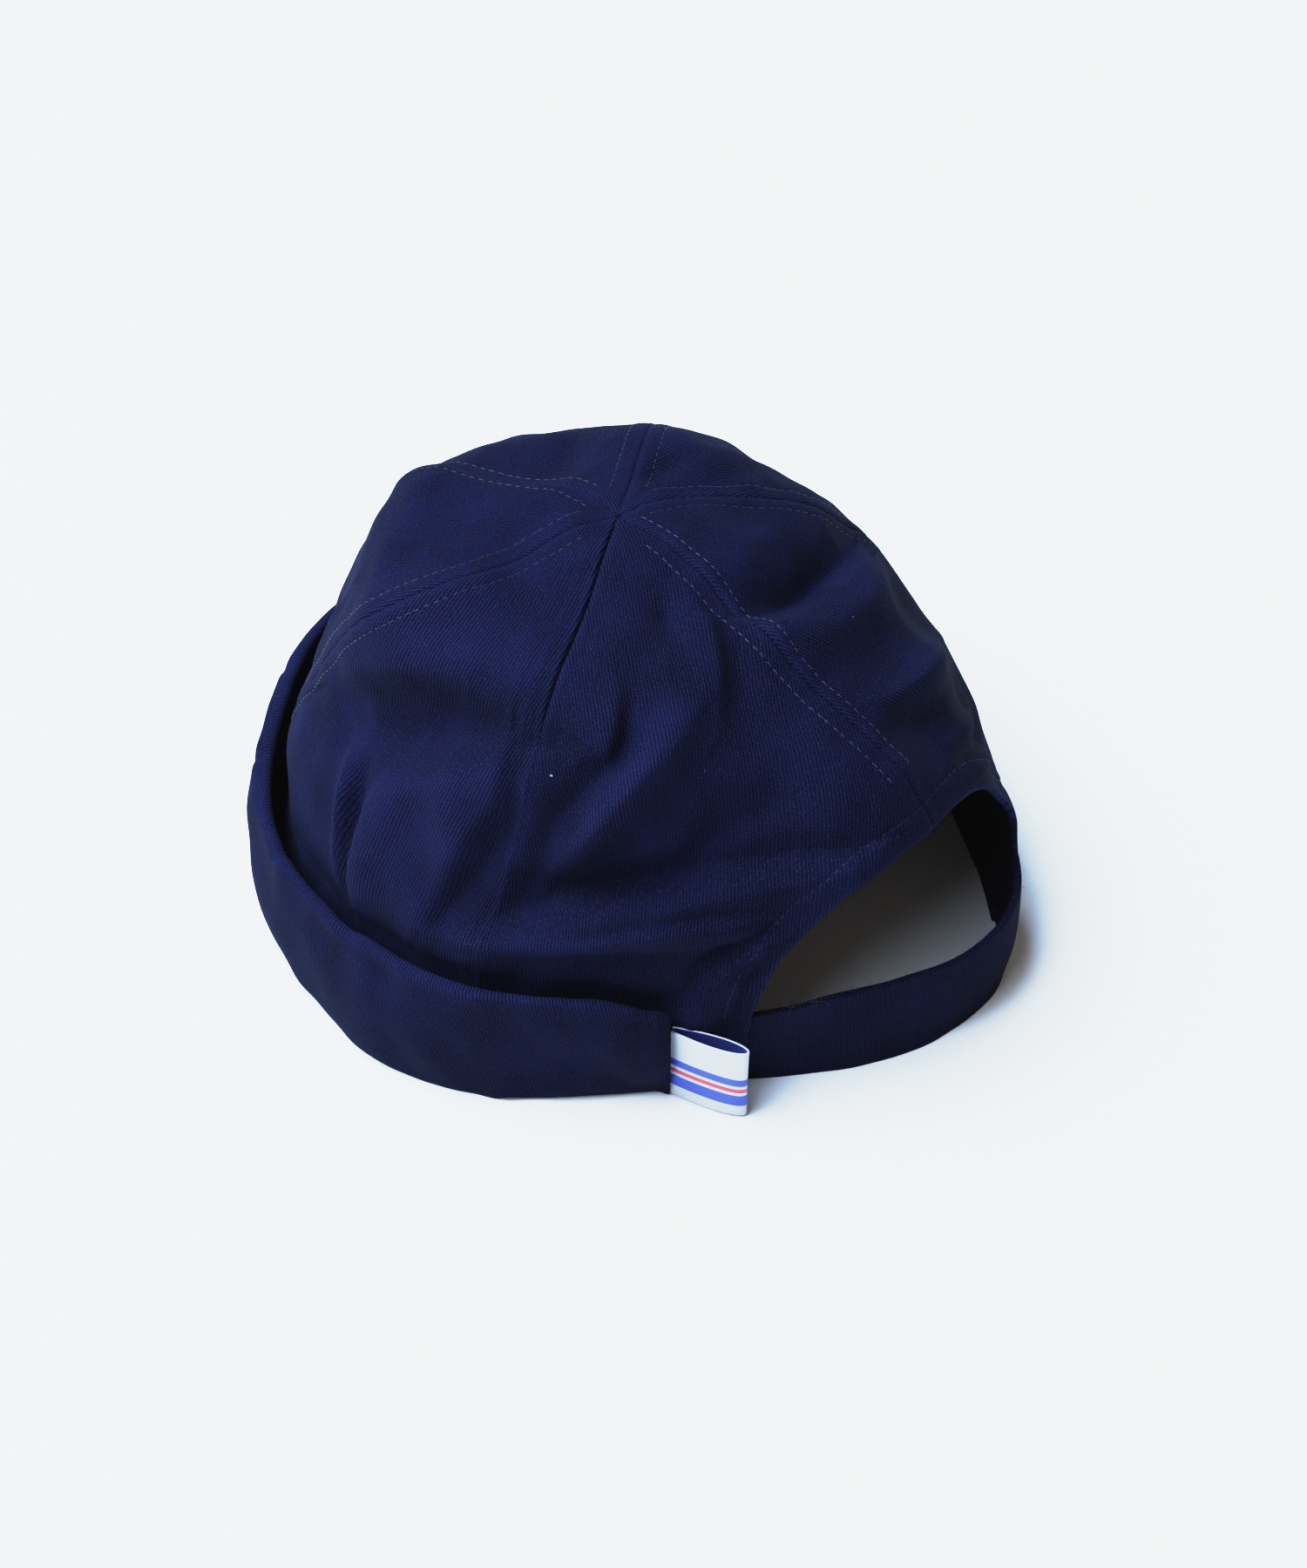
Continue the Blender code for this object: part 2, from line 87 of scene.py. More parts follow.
def notBelowFloor(points):
    points[..., 2] = np.maximum(points[..., 2], 0)
    return points


def curve(start, length, share, heading, bend):
    return start + length * (share[:, None] * heading + (share**2)[:, None] * bend)


# Materials

def linearColour(hexColour):
    parts = [int(hexColour[i : i + 2], 16) / 255 for i in (1, 3, 5)]
    linear = [part / 12.92 if part <= 0.04045 else ((part + 0.055) / 1.055) ** 2.4 for part in parts]
    return (*linear, 1.0)


def addNode(tree, kind, settings=None, links=None):
    node = tree.nodes.new("ShaderNode" + kind)
    for name, value in (settings or {}).items():
        if isinstance(name, int) or name in node.inputs:
            node.inputs[name].default_value = value
        else:
            setattr(node, name, value)
    for name, source in (links or {}).items():
        tree.links.new(source, node.inputs[name])
    return node


def scaleFor(spacingMm, scaleAtMetre=1):  # a texture's Scale, for a pattern this far apart
    return scaleAtMetre / (spacingMm * mm)


def overRange(numbers):  # where a pattern starts to show, where it is full, and how strong then
    return dict(zip(("From Min", "From Max", "To Max"), numbers))


def newMaterial(name, settings):
    material = bpy.data.materials.new(name)
    material.use_nodes = True
    shader = material.node_tree.nodes["Principled BSDF"]
    for socket, value in settings.items():
        shader.inputs[socket].default_value = value
    return material, material.node_tree, shader


def giveColourAndRelief(tree, shader, colour, height, relief):
    strength, depthMm = relief
    bumps = addNode(tree, "Bump", {"Strength": strength, "Distance": depthMm * mm}, {"Height": height})
    tree.links.new(bumps.outputs["Normal"], shader.inputs["Normal"])
    tree.links.new(colour, shader.inputs["Base Color"])


waveScale = 0.314  # at this Scale a wave texture has one band to the metre
twillLook = {
    "ground": "#10122d",  # dyed yarn on top of a wale
    "hollow": "#070713",  # between two wales, where less light gets in
    "faded": "#151735",
    "plum": "#180e25",  # yarn that took the dye a little redder
    "worn": "#23264a",  # rubbed yarn on seam edges and fold crests
    "fuzz": "#2b2d3d",  # ends of undyed fibre
    "litOver": (0.1, 0.75, 1.0),
    "fadedOver": (0.42, 0.72, 0.55),
    "plumOver": (0.52, 0.70, 0.7),
    "fuzzOver": (0.52, 0.72, 0.40),
    "waleMm": 0.85,  # 0.7 mm on the real cloth, drawn coarser so that it shows
    "crossMm": 0.80,
    "crossTurn": 62.0,
    "crossGap": 0.62,  # how much of a wale is left between two floats
    "driftMm": 14.0,  # how far apart the wales' slow bends are
    "driftBy": 0.0011,
    "jitterMm": 2.6,
    "jitterBy": 0.0005,
    "fleckMm": 1.0,
    "fleckLength": 0.45,  # drawn out along the wales
    "fleckRelief": 0.35,
    "fuzzMm": 0.55,
    "mottleMm": 22.0,
    "relief": (0.8, 0.18),  # strength, and depth in mm
    "roughness": (0.78, 0.92),
}


# Cotton twill: steep diagonal ribs that break into short floats, matt with a faint bloom
def makeTwill(name, look):
    material, tree, shader = newMaterial(name, {
        "IOR": 1.53,
        "Specular IOR Level": 0.03,
        "Sheen Weight": 0.01,
        "Sheen Roughness": 0.45,
        "Sheen Tint": linearColour("#c9cde6"),
    })
    cloth = addNode(tree, "UVMap", {"uv_map": "cloth"})
    place = addNode(tree, "TexCoord")
    along = addNode(tree, "Mapping", {"Scale": (1.0, look["fleckLength"], 1.0)},
                    {"Vector": cloth.outputs["UV"]})
    noises = {}
    for noise, detail, roughness, source in (
        ("drift", 2.0, 0.5, cloth.outputs["UV"]),
        ("jitter", 2.0, 0.5, cloth.outputs["UV"]),
        ("fleck", 3.0, 0.7, along.outputs["Vector"]),
        ("fuzz", 2.0, 0.5, cloth.outputs["UV"]),
        ("mottle", 4.0, 0.6, place.outputs["Object"]),
    ):
        settings = {"Scale": scaleFor(look[noise + "Mm"]), "Detail": detail, "Roughness": roughness}
        noises[noise] = addNode(tree, "TexNoise", settings, {"Vector": source})

    by = look["driftBy"]
    slack = addNode(tree, "VectorMath",
                    {"operation": "MULTIPLY_ADD", 1: (by, by, 0), 2: (-by / 2, -by / 2, 0)},
                    {0: noises["drift"].outputs["Color"]})
    drawn = addNode(tree, "VectorMath", {"operation": "ADD"},
                    {0: cloth.outputs["UV"], 1: slack.outputs["Vector"]})
    by = look["jitterBy"]
    lie = addNode(tree, "VectorMath", {"operation": "MULTIPLY_ADD", 1: (by, by, 0)},
                  {0: noises["jitter"].outputs["Color"], 2: drawn.outputs["Vector"]})
    wales = addNode(tree, "TexWave", {"bands_direction": "X", "Scale": scaleFor(look["waleMm"], waveScale)},
                    {"Vector": lie.outputs["Vector"]})
    turned = addNode(tree, "Mapping", {"Rotation": (0, 0, math.radians(look["crossTurn"]))},
                     {"Vector": lie.outputs["Vector"]})
    floats = addNode(tree, "TexWave", {"bands_direction": "X", "Scale": scaleFor(look["crossMm"], waveScale)},
                     {"Vector": turned.outputs["Vector"]})
    broken = addNode(tree, "MapRange", {"To Min": look["crossGap"]}, {"Value": floats.outputs["Fac"]})
    weave = addNode(tree, "Math", {"operation": "MULTIPLY"},
                    {0: wales.outputs["Fac"], 1: broken.outputs["Result"]})
    wear = addNode(tree, "Attribute", {"attribute_name": "wear"})

    lit = addNode(tree, "MapRange", overRange(look["litOver"]), {"Value": weave.outputs["Value"]})
    colour = addNode(tree, "Mix",
                     {"data_type": "RGBA", 6: linearColour(look["hollow"]), 7: linearColour(look["ground"])},
                     {0: lit.outputs["Result"]})
    rubbed = addNode(tree, "Math", {"operation": "MULTIPLY"},
                     {0: wear.outputs["Fac"], 1: lit.outputs["Result"]})
    # each tint covers part of the ones before it
    for tint, pattern in (("faded", "mottle"), ("plum", "fleck"), ("worn", None), ("fuzz", "fuzz")):
        cover = rubbed
        if pattern:
            cover = addNode(tree, "MapRange", overRange(look[tint + "Over"]),
                            {"Value": noises[pattern].outputs["Fac"]})
        colour = addNode(tree, "Mix", {"data_type": "RGBA", 7: linearColour(look[tint])},
                         {0: cover.outputs[0], 6: colour.outputs[2]})

    low, high = look["roughness"]
    matt = addNode(tree, "MapRange", {"To Min": low, "To Max": high},
                   {"Value": noises["fleck"].outputs["Fac"]})
    tree.links.new(matt.outputs["Result"], shader.inputs["Roughness"])

    height = addNode(tree, "Math", {"operation": "MULTIPLY_ADD", 1: look["fleckRelief"]},
                     {0: noises["fleck"].outputs["Fac"], 2: weave.outputs["Value"]})
    giveColourAndRelief(tree, shader, colour.outputs[2], height.outputs["Value"], look["relief"])
    return material


threadLook = {
    "lit": "#161b39",
    "deep": "#0d1029",
    "litOver": (0.35, 0.65, 1.0),
    "tonesPerMetre": 260.0,
    "plyMm": 0.55,
    "relief": (0.5, 0.05),
}


# Polyester-cotton sewing thread: a paler blue than the cloth, with a slight gloss and a ply twist
def makeThread(name, look):
    material, tree, shader = newMaterial(name, {
        "IOR": 1.55,
        "Roughness": 0.55,
        "Sheen Weight": 0.15,
    })
    place = addNode(tree, "TexCoord")
    tone = addNode(tree, "TexNoise", {"Scale": look["tonesPerMetre"], "Detail": 2.0},
                   {"Vector": place.outputs["Object"]})
    spread = addNode(tree, "MapRange", overRange(look["litOver"]), {"Value": tone.outputs["Fac"]})
    colour = addNode(tree, "Mix",
                     {"data_type": "RGBA", 6: linearColour(look["deep"]), 7: linearColour(look["lit"])},
                     {0: spread.outputs["Result"]})
    ply = addNode(tree, "TexWave",
                  {"bands_direction": "DIAGONAL", "Scale": scaleFor(look["plyMm"], waveScale)},
                  {"Vector": place.outputs["Object"]})
    giveColourAndRelief(tree, shader, colour.outputs[2], ply.outputs["Fac"], look["relief"])
    return material


ribbonLook = {
    "white": "#babbc0",
    "blue": "#2a3fa4",
    "red": "#c8343f",
    "inside": "#111f74",
    "ribMm": 0.42,  # a real taffeta rib is 0.25 mm, drawn coarser so that it shows
    "ribShade": 0.86,  # what is left of the colour between two ribs
    "relief": (0.5, 0.06),
    "stripes": (  # height up the ribbon, half its width, colour
        (6.4 * mm, 2.2 * mm, "blue"),
        (10.6 * mm, 0.8 * mm, "red"),
        (14.0 * mm, 1.4 * mm, "blue"),
    ),
}


# Polyester taffeta ribbon: a smooth satin gleam over fine cross ribs, striped in the weaving
def makeRibbon(name, look, ground, stripes):
    material, tree, shader = newMaterial(name, {
        "IOR": 1.57,
        "Roughness": 0.48,
        "Sheen Weight": 0.1,
    })
    cloth = addNode(tree, "UVMap", {"uv_map": "cloth"})
    apart = addNode(tree, "SeparateXYZ", {}, {0: cloth.outputs["UV"]})
    ribs = addNode(tree, "TexWave",
                   {"bands_direction": "Y", "Scale": scaleFor(look["ribMm"], waveScale)},
                   {"Vector": cloth.outputs["UV"]})
    tone = addNode(tree, "MapRange", {"To Min": look["ribShade"]}, {"Value": ribs.outputs["Fac"]})
    colour = addNode(tree, "Mix",
                     {"data_type": "RGBA", 0: 0.0, 6: linearColour(ground), 7: linearColour(ground)})
    for middle, half, tint in stripes:
        within = addNode(tree, "Math", {"operation": "COMPARE", 1: middle, 2: half}, {0: apart.outputs["Y"]})
        colour = addNode(tree, "Mix", {"data_type": "RGBA", 7: linearColour(look[tint])},
                         {0: within.outputs["Value"], 6: colour.outputs[2]})
    shaded = addNode(tree, "VectorMath", {"operation": "SCALE"},
                     {0: colour.outputs[2], "Scale": tone.outputs["Result"]})
    giveColourAndRelief(tree, shader, shaded.outputs["Vector"], ribs.outputs["Fac"], look["relief"])
    return material


# Loose cotton lint: pale dull fibre
def makeLintFinish(name):
    material, tree, shader = newMaterial(name, {"IOR": 1.53, "Roughness": 0.9, "Sheen Weight": 0.3})
    tint = addNode(tree, "Attribute", {"attribute_name": "tint"})
    tree.links.new(tint.outputs["Color"], shader.inputs["Base Color"])
    return material


floorLook = {"sheet": "#f3f4f6", "grain": "#eceef1", "grainMm": 3.0, "relief": (0.1, 0.1)}


# Matt painted board: almost even, with a faint roller grain
def makeFloorPaint(name, look):
    material, tree, shader = newMaterial(name, {"IOR": 1.5, "Roughness": 0.75, "Specular IOR Level": 0.25})
    place = addNode(tree, "TexCoord")
    grain = addNode(tree, "TexNoise", {"Scale": scaleFor(look["grainMm"]), "Detail": 3.0},
                    {"Vector": place.outputs["Object"]})
    colour = addNode(tree, "Mix",
                     {"data_type": "RGBA", 6: linearColour(look["grain"]), 7: linearColour(look["sheet"])},
                     {0: grain.outputs["Fac"]})
    giveColourAndRelief(tree, shader, colour.outputs[2], grain.outputs["Fac"], look["relief"])
    return material


twill = makeTwill("navy_cotton_twill", twillLook)
threadFinish = makeThread("blue_sewing_thread", threadLook)
ribbonFront = makeRibbon("white_taffeta_ribbon", ribbonLook, ribbonLook["white"], ribbonLook["stripes"])
ribbonBack = makeRibbon("blue_taffeta_ribbon", ribbonLook, ribbonLook["inside"], ())
lintFinish = makeLintFinish("loose_cotton_lint")
floorPaint = makeFloorPaint("matt_white_board", floorLook)
print("materials ready")


# The crown's surface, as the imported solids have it

crownShape = {
    "height": 0.120,
    "halfLength": 0.100,
    "cloth": 0.0016,
    # a meridian's knots: two hold a share of halfLength as reach, three a share of height
    "crest": 0.26,
    "brow": 0.56,
    "shoulder": 0.66,
    "waist": 0.38,
    "foot": 0.14,
    "apexLeft": 0.02,
    "apexBack": 0.01,
    "tip": 0.0004,
    "sections": (
        # turn, crest, brow, shoulder, waist, foot, rim
        (0, 0.980, 0.885, 0.97, 1.05, 1.06, 1.04),
        (22, 0.985, 0.900, 0.85, 0.95, 0.91, 0.89),
        (45, 0.985, 0.915, 0.77, 0.86, 0.84, 0.82),
        (70, 0.985, 0.915, 0.74, 0.87, 0.87, 0.86),
        (95, 0.990, 0.925, 0.74, 0.86, 0.91, 0.91),
        (120, 0.995, 0.940, 0.74, 0.88, 0.92, 0.91),
        (150, 0.990, 0.950, 0.73, 0.84, 0.90, 0.90),
        (180, 0.980, 0.890, 0.76, 0.86, 0.91, 0.91),
        (210, 0.970, 0.860, 0.74, 0.87, 0.92, 0.92),
        (240, 0.970, 0.860, 0.72, 0.86, 0.90, 0.90),
        (270, 0.970, 0.850, 0.70, 0.83, 0.88, 0.88),
        (300, 0.975, 0.860, 0.735, 0.87, 0.91, 0.90),
        (325, 0.980, 0.875, 0.80, 0.97, 1.00, 0.98),
        (342, 0.980, 0.880, 0.90, 1.08, 1.11, 1.09),
    ),
    "folds": (
        # from turn, from level, to turn, to level, rise (share of height), spread (of halfLength)
        (84, 0.755, 27, 0.665, 0.014, 0.045),  # ridge over the cuff, left
        (72, 0.650, 20, 0.550, -0.026, 0.080),  # long hollow above that ridge
        (86, 0.600, 76, 0.700, -0.012, 0.060),  # hollow at the back left seam's foot
        (60, 0.560, 26, 0.300, 0.016, 0.060),  # rise up the back left panel
        (44, 0.490, 16, 0.470, -0.018, 0.090),  # hollow beside the arch's top
        (92, 0.100, 128, 0.480, 0.020, 0.080),  # ridge along the front left seam
        (118, 0.500, 76, 0.360, -0.028, 0.110),  # hollow on the left panel
        (110, 0.480, 98, 0.770, 0.014, 0.045),  # crease running down to the cuff
        (90, 0.480, 97, 0.770, 0.012, 0.045),  # crease meeting it there
        (84, 0.400, 78, 0.620, 0.010, 0.060),  # rise beside the back left seam
        (-4, 0.200, -58, 0.400, -0.034, 0.080),  # dent across the back right panel
        (0, 0.260, -62, 0.460, 0.016, 0.050),  # ridge under that dent
        (-8, 0.420, -50, 0.600, 0.016, 0.060),  # second ridge, nearer the arch
        (-6, 0.480, -24, 0.540, -0.014, 0.060),  # hollow over the arch
        (28, 0.700, 40, 0.800, -0.010, 0.030),  # gather at the arch's foot
        (157, 0.140, 165, 0.360, 0.008, 0.070),  # rise to the front corner
        (214, 0.340, 256, 0.560, -0.024, 0.100),  # dent on the front right
        (172, 0.680, 262, 0.690, 0.012, 0.050),  # ridge over the cuff, front and right
        (286, 0.300, 276, 0.680, 0.014, 0.060),  # fold down the right panel
    ),
    "foldEnd": 0.35,
    "foldSteps": 8,
    "fineDepth": 1.22,  # how much deeper than their numbers the smaller folds are drawn
}

# Smaller folds. Walking a fold's line outside the cap, its first spread is to the left hand
fineFolds = (
    # rise mm, left spread mm, right spread mm, power, line of (turn, level)
    # left panel
    (3.4, 15.0, 4.5, 1.8, ((124, 0.53), (112, 0.43), (99, 0.37), (87, 0.35), (72, 0.35), (65, 0.36))),
    (-5.0, 12.0, 6.0, 1.9, ((113, 0.54), (104, 0.50), (94, 0.47), (84, 0.43), (75, 0.40), (69, 0.40))),
    (1.4, 6.0, 10.0, 1.8, ((94, 0.55), (86, 0.50), (78, 0.46))),
    (2.2, 2.2, 4.0, 1.5, ((110, 0.55), (105, 0.61), (103, 0.68), (100, 0.79))),
    (1.9, 9.0, 2.2, 1.5, ((95, 0.49), (98, 0.59), (98, 0.78))),
    (-3.4, 2.6, 2.6, 1.7, ((104, 0.55), (101.5, 0.64), (99.5, 0.76))),
    (2.3, 2.6, 10.0, 1.6, ((72, 0.40), (72, 0.48), (76, 0.54), (78, 0.61), (82, 0.71))),
    (-2.6, 4.0, 3.5, 1.8, ((69, 0.41), (68, 0.49), (72, 0.57), (76, 0.63), (79, 0.70))),
    (-1.9, 4.0, 6.0, 1.7, ((95, 0.07), (106, 0.13), (102, 0.19))),
    # back left panel
    (1.7, 2.2, 4.0, 1.6, ((48, 0.29), (48, 0.36), (50, 0.39), (55, 0.40))),
    (-1.7, 3.0, 2.4, 1.8, ((45, 0.33), (46, 0.38), (48, 0.41))),
    (-2.8, 4.5, 4.5, 1.7, ((47, 0.39), (53, 0.44), (60, 0.50), (63, 0.58), (66, 0.64))),
    (2.4, 3.4, 5.0, 1.6, ((32, 0.36), (43, 0.42), (50, 0.48), (56, 0.54), (61, 0.59))),
    (-3.2, 7.0, 4.0, 1.7, ((34, 0.43), (44, 0.50), (48, 0.53), (52, 0.56), (59, 0.61))),
    (-2.4, 5.0, 8.0, 1.8, ((12, 0.46), (26, 0.50), (35, 0.54), (42, 0.57))),
    (-5.0, 2.6, 11.0, 1.6,
     ((9, 0.565), (19, 0.555), (33, 0.57), (40, 0.59), (50, 0.605), (59, 0.625), (69, 0.665))),
    (2.2, 4.0, 2.6, 1.6, ((12, 0.595), (25, 0.59), (40, 0.615), (50, 0.63), (63, 0.665))),
    (-1.2, 2.2, 2.2, 1.7, ((24, 0.62), (40, 0.635), (60, 0.675))),
    (2.6, 2.2, 4.5, 1.6, ((26, 0.65), (40, 0.65), (52, 0.67), (70, 0.70), (80, 0.72))),
    (-3.2, 6.0, 2.8, 1.8, ((32, 0.69), (44, 0.70), (56, 0.71), (70, 0.74))),
    (-3.0, 2.4, 2.6, 1.6, ((25, 0.66), (30, 0.69), (35, 0.72), (38, 0.79))),
    (2.8, 2.0, 2.2, 1.6, ((22, 0.67), (26, 0.68), (30, 0.71), (35, 0.78))),
    (-1.6, 1.4, 1.4, 1.6, ((26, 0.72), (28, 0.75), (30, 0.82))),
    (1.9, 3.0, 5.5, 1.7, ((11, 0.16), (19, 0.28), (27, 0.38))),
    (-1.5, 4.0, 4.0, 1.8, ((25, 0.15), (27, 0.24))),
    (-0.8, 3.5, 4.0, 1.8, ((9, 0.24), (17, 0.35))),
    # back right panel
    (0.8, 6.0, 4.0, 1.7, ((-6, 0.17), (-35, 0.19), (-56, 0.28))),
    (-4.4, 12.0, 2.2, 1.5, ((5, 0.21), (-21, 0.26), (-38, 0.315), (-51, 0.37))),
    (1.8, 2.2, 10.0, 1.5, ((-1, 0.25), (-21, 0.29), (-38, 0.345), (-52, 0.41))),
    (2.2, 5.0, 3.0, 1.6, ((-9, 0.42), (-20, 0.455), (-34, 0.505), (-46, 0.57))),
    (-2.0, 4.0, 4.0, 1.7, ((-6, 0.45), (-28, 0.53))),
    (1.5, 2.0, 2.0, 1.6, ((-16.5, 0.54), (-37, 0.64))),
    (0.9, 1.8, 1.8, 1.6, ((-15.5, 0.60), (-35, 0.68))),
    (-0.9, 2.0, 2.0, 1.6, ((-16, 0.57), (-36, 0.66))),
    # front left panel and the front corner
    (0.7, 5.0, 5.0, 1.8, ((160.5, 0.29), (165, 0.19), (180, 0.11), (203, 0.04))),
    (-1.1, 5.0, 6.0, 1.8, ((160, 0.08), (140, 0.10), (122.5, 0.14))),
    (1.4, 5.0, 5.0, 1.8, ((166, 0.30), (166, 0.42))),
    (-2.6, 16.0, 16.0, 2.0, ((200, 0.12), (185, 0.20), (175, 0.27))),
    (0.8, 2.5, 2.5, 1.6, ((136, 0.39), (139.5, 0.52), (141, 0.66))),
    # round the far side's top
    (-2.0, 4.0, 4.0, 1.8, ((-108, 0.10), (-101, 0.20))),
    (-0.9, 4.0, 4.0, 1.8, ((-84, 0.14), (-80, 0.20), (-84, 0.27))),
    # the sides that the photograph doesn't show
    (0.7, 5.0, 3.0, 1.6, ((205, 0.42), (228, 0.55), (262, 0.60))),
    (-0.7, 4.0, 3.0, 1.6, ((200, 0.60), (232, 0.66))),
    (0.6, 4.0, 6.0, 1.6, ((258, 0.20), (280, 0.42))),
    (0.7, 3.0, 2.4, 1.6, ((283, 0.48), (276, 0.76))),
    (-0.6, 3.0, 3.0, 1.6, ((292, 0.50), (281, 0.74))),
    (0.6, 3.0, 4.0, 1.6, ((305, 0.62), (326, 0.70))),
)

# Slow unevenness of cloth that has been folded away and handled: wavelength and rise, in mm
ripples = ((46, 0.34), (30, 0.22), (19, 0.12), (12, 0.06))
waves = []
for lengthMm, riseMm in ripples:
    for _ in range(5):
        heading = unit(chance.normal(size=3)) * 2 * np.pi / (lengthMm * mm * chance.uniform(0.8, 1.25))
        waves.append((heading, chance.uniform(0, 2 * np.pi), riseMm * mm))

height = crownShape["height"]
halfLength = crownShape["halfLength"]
sectionTable = np.array(crownShape["sections"], float)
sectionTurns = sectionTable[:, 0]
sectionShares = sectionTable[:, 1:]
sectionGaps = np.diff(np.append(sectionTurns, 360.0))


def ringSlopes():  # slopes, per degree, of the smooth closed curve through the sections
    count = len(sectionTurns)
    matrix = np.zeros((count, count))
    sides = np.zeros(sectionShares.shape)
    for i in range(count):
        after = (i + 1) % count
        wideBefore, wideAfter = sectionGaps[i - 1], sectionGaps[i]
        matrix[i, i - 1] = wideAfter
        matrix[i, i] = 2 * (wideBefore + wideAfter)
        matrix[i, after] = wideBefore
        stepBefore = (sectionShares[i] - sectionShares[i - 1]) / wideBefore
        stepAfter = (sectionShares[after] - sectionShares[i]) / wideAfter
        sides[i] = 3 * (wideAfter * stepBefore + wideBefore * stepAfter)
    return np.linalg.solve(matrix, sides)


sectionSlopes = ringSlopes()


def hermite(start, startSlope, end, endSlope, share):
    left = 1 - share
    return (
        start * left * left * (1 + 2 * share)
        + startSlope * left * left * share
        + end * share * share * (1 + 2 * left)
        - endSlope * share * share * left
    )


def sharesAt(turn):
    turn = turn % 360
    before = np.searchsorted(sectionTurns, turn, side="right") - 1
    after = (before + 1) % len(sectionTurns)
    wide = sectionGaps[before][..., None]
    share = (turn - sectionTurns[before])[..., None] / wide
    return hermite(sectionShares[before], sectionSlopes[before] * wide,
                   sectionShares[after], sectionSlopes[after] * wide, share)


def meridianKnots(turn):  # reach and height of the seven knots down the crown at each turn
    crest, brow, shoulder, waist, foot, rim = np.moveaxis(sharesAt(turn), -1, 0)
    same = np.ones(turn.shape)
    shape = crownShape
    reach = (0 * same, shape["crest"] * same, shape["brow"] * same, shoulder, waist, foot, rim)
    up = (same, crest, brow, *(shape[knot] * same for knot in ("shoulder", "waist", "foot")), 0 * same)
    return np.stack([np.stack(reach, -1) * halfLength, np.stack(up, -1) * height], -1)


def pick(values, index):
    if values.ndim > index.ndim + 1:
        return np.take_along_axis(values, index[..., None, None], -2)[..., 0, :]
    return np.take_along_axis(values, index[..., None], -1)[..., 0]


def smoothMeridian(knots, level):
    steps = np.diff(knots, axis=-2)
    chords = np.linalg.norm(steps, axis=-1)
    run = np.concatenate([0 * chords[..., :1], np.cumsum(chords, -1)], -1)
    run = run / run[..., -1:]
    wide = np.diff(run, axis=-1)[..., None]
    rate = steps / wide
    slopes = np.empty_like(knots)
    slopes[..., 1:-1, :] = rate[..., :-1, :] * wide[..., 1:, :] + rate[..., 1:, :] * wide[..., :-1, :]
    slopes[..., 1:-1, :] /= wide[..., :-1, :] + wide[..., 1:, :]
    slopes[..., 0, :] = rate[..., 0, :]
    slopes[..., 0, 1] = 0.0
    slopes[..., -1, :] = rate[..., -1, :]
    before = np.clip((run[..., 1:] <= level[..., None]).sum(-1), 0, knots.shape[-2] - 2)
    start = pick(run, before)
    length = pick(run, before + 1) - start
    share = ((level - start) / length)[..., None]
    return hermite(pick(knots, before), pick(slopes, before) * length[..., None],
                   pick(knots, before + 1), pick(slopes, before + 1) * length[..., None], share)


def plainCrown(turn, level):
    turn, level = np.broadcast_arrays(np.asarray(turn, float), np.asarray(level, float))
    reach, up = np.moveaxis(smoothMeridian(meridianKnots(turn), level), -1, 0)
    angle = np.radians(turn)
    lift = up / height * halfLength
    across = crownShape["apexLeft"] * lift + reach * np.sin(angle)
    back = crownShape["apexBack"] * lift + reach * np.cos(angle)
    return np.stack([across, back, up], -1)


def outward(turn, level):
    nudgeTurn, nudgeLevel = 0.5, 0.004
    roundIt = plainCrown(turn + nudgeTurn, level) - plainCrown(turn - nudgeTurn, level)
    downIt = (plainCrown(turn, np.minimum(level + nudgeLevel, 1))
              - plainCrown(turn, np.maximum(level - nudgeLevel, 0)))
    return unit(np.cross(roundIt, downIt))


def smoothLine(places, values, at):
    slopes = np.gradient(values, places, axis=0)
    before = np.clip(np.searchsorted(places, at, side="right") - 1, 0, len(places) - 2)
    gap = places[before + 1] - places[before]
    share = (at - places[before]) / gap
    if values.ndim > 1:
        gap, share = gap[..., None], share[..., None]
    return hermite(values[before], slopes[before] * gap,
                   values[before + 1], slopes[before + 1] * gap, share)


# Distance from each point to a line of points, how far along the line, and on which hand
def nearestOnLine(points, line):
    steps = np.diff(line, axis=0)
    gaps = points[..., None, :] - line[:-1]
    along = np.clip((gaps * steps).sum(-1) / (steps**2).sum(-1), 0, 1)
    off = gaps - along[..., None] * steps
    distance = np.linalg.norm(off, axis=-1)
    best = distance.argmin(-1)[..., None]
    hand = (np.cross(steps, off) * points[..., None, :]).sum(-1)
    place = (best[..., 0] + np.take_along_axis(along, best, -1)[..., 0]) / len(steps)
    return (np.take_along_axis(distance, best, -1)[..., 0], place,
            np.take_along_axis(hand, best, -1)[..., 0])


def taper(place):
    end = crownShape["foldEnd"]
    return end + (1 - end) * np.sin(np.pi * place)


mainLines = []
for fromTurn, fromLevel, toTurn, toLevel, rise, spread in crownShape["folds"]:
    share = np.linspace(0, 1, crownShape["foldSteps"] + 1)
    line = plainCrown(fromTurn + (toTurn - fromTurn) * share, fromLevel + (toLevel - fromLevel) * share)
    mainLines.append((line, rise * height, spread * halfLength, spread * halfLength, 2.0))

fineLines = []
for riseMm, leftMm, rightMm, power, corners in fineFolds:
    corners = np.array(corners)
    share = np.linspace(0, len(corners) - 1, 4 * (len(corners) - 1) + 1)
    turns = np.interp(share, range(len(corners)), corners[:, 0])
    levels = np.interp(share, range(len(corners)), corners[:, 1])
    fineLines.append((plainCrown(turns, levels), riseMm * mm * crownShape["fineDepth"],
                      leftMm * mm, rightMm * mm, power))


def ripple(points):
    total = np.zeros(points.shape[:-1])
    for heading, phase, rise in waves:
        total += rise * np.sin(points @ heading + phase)
    return total


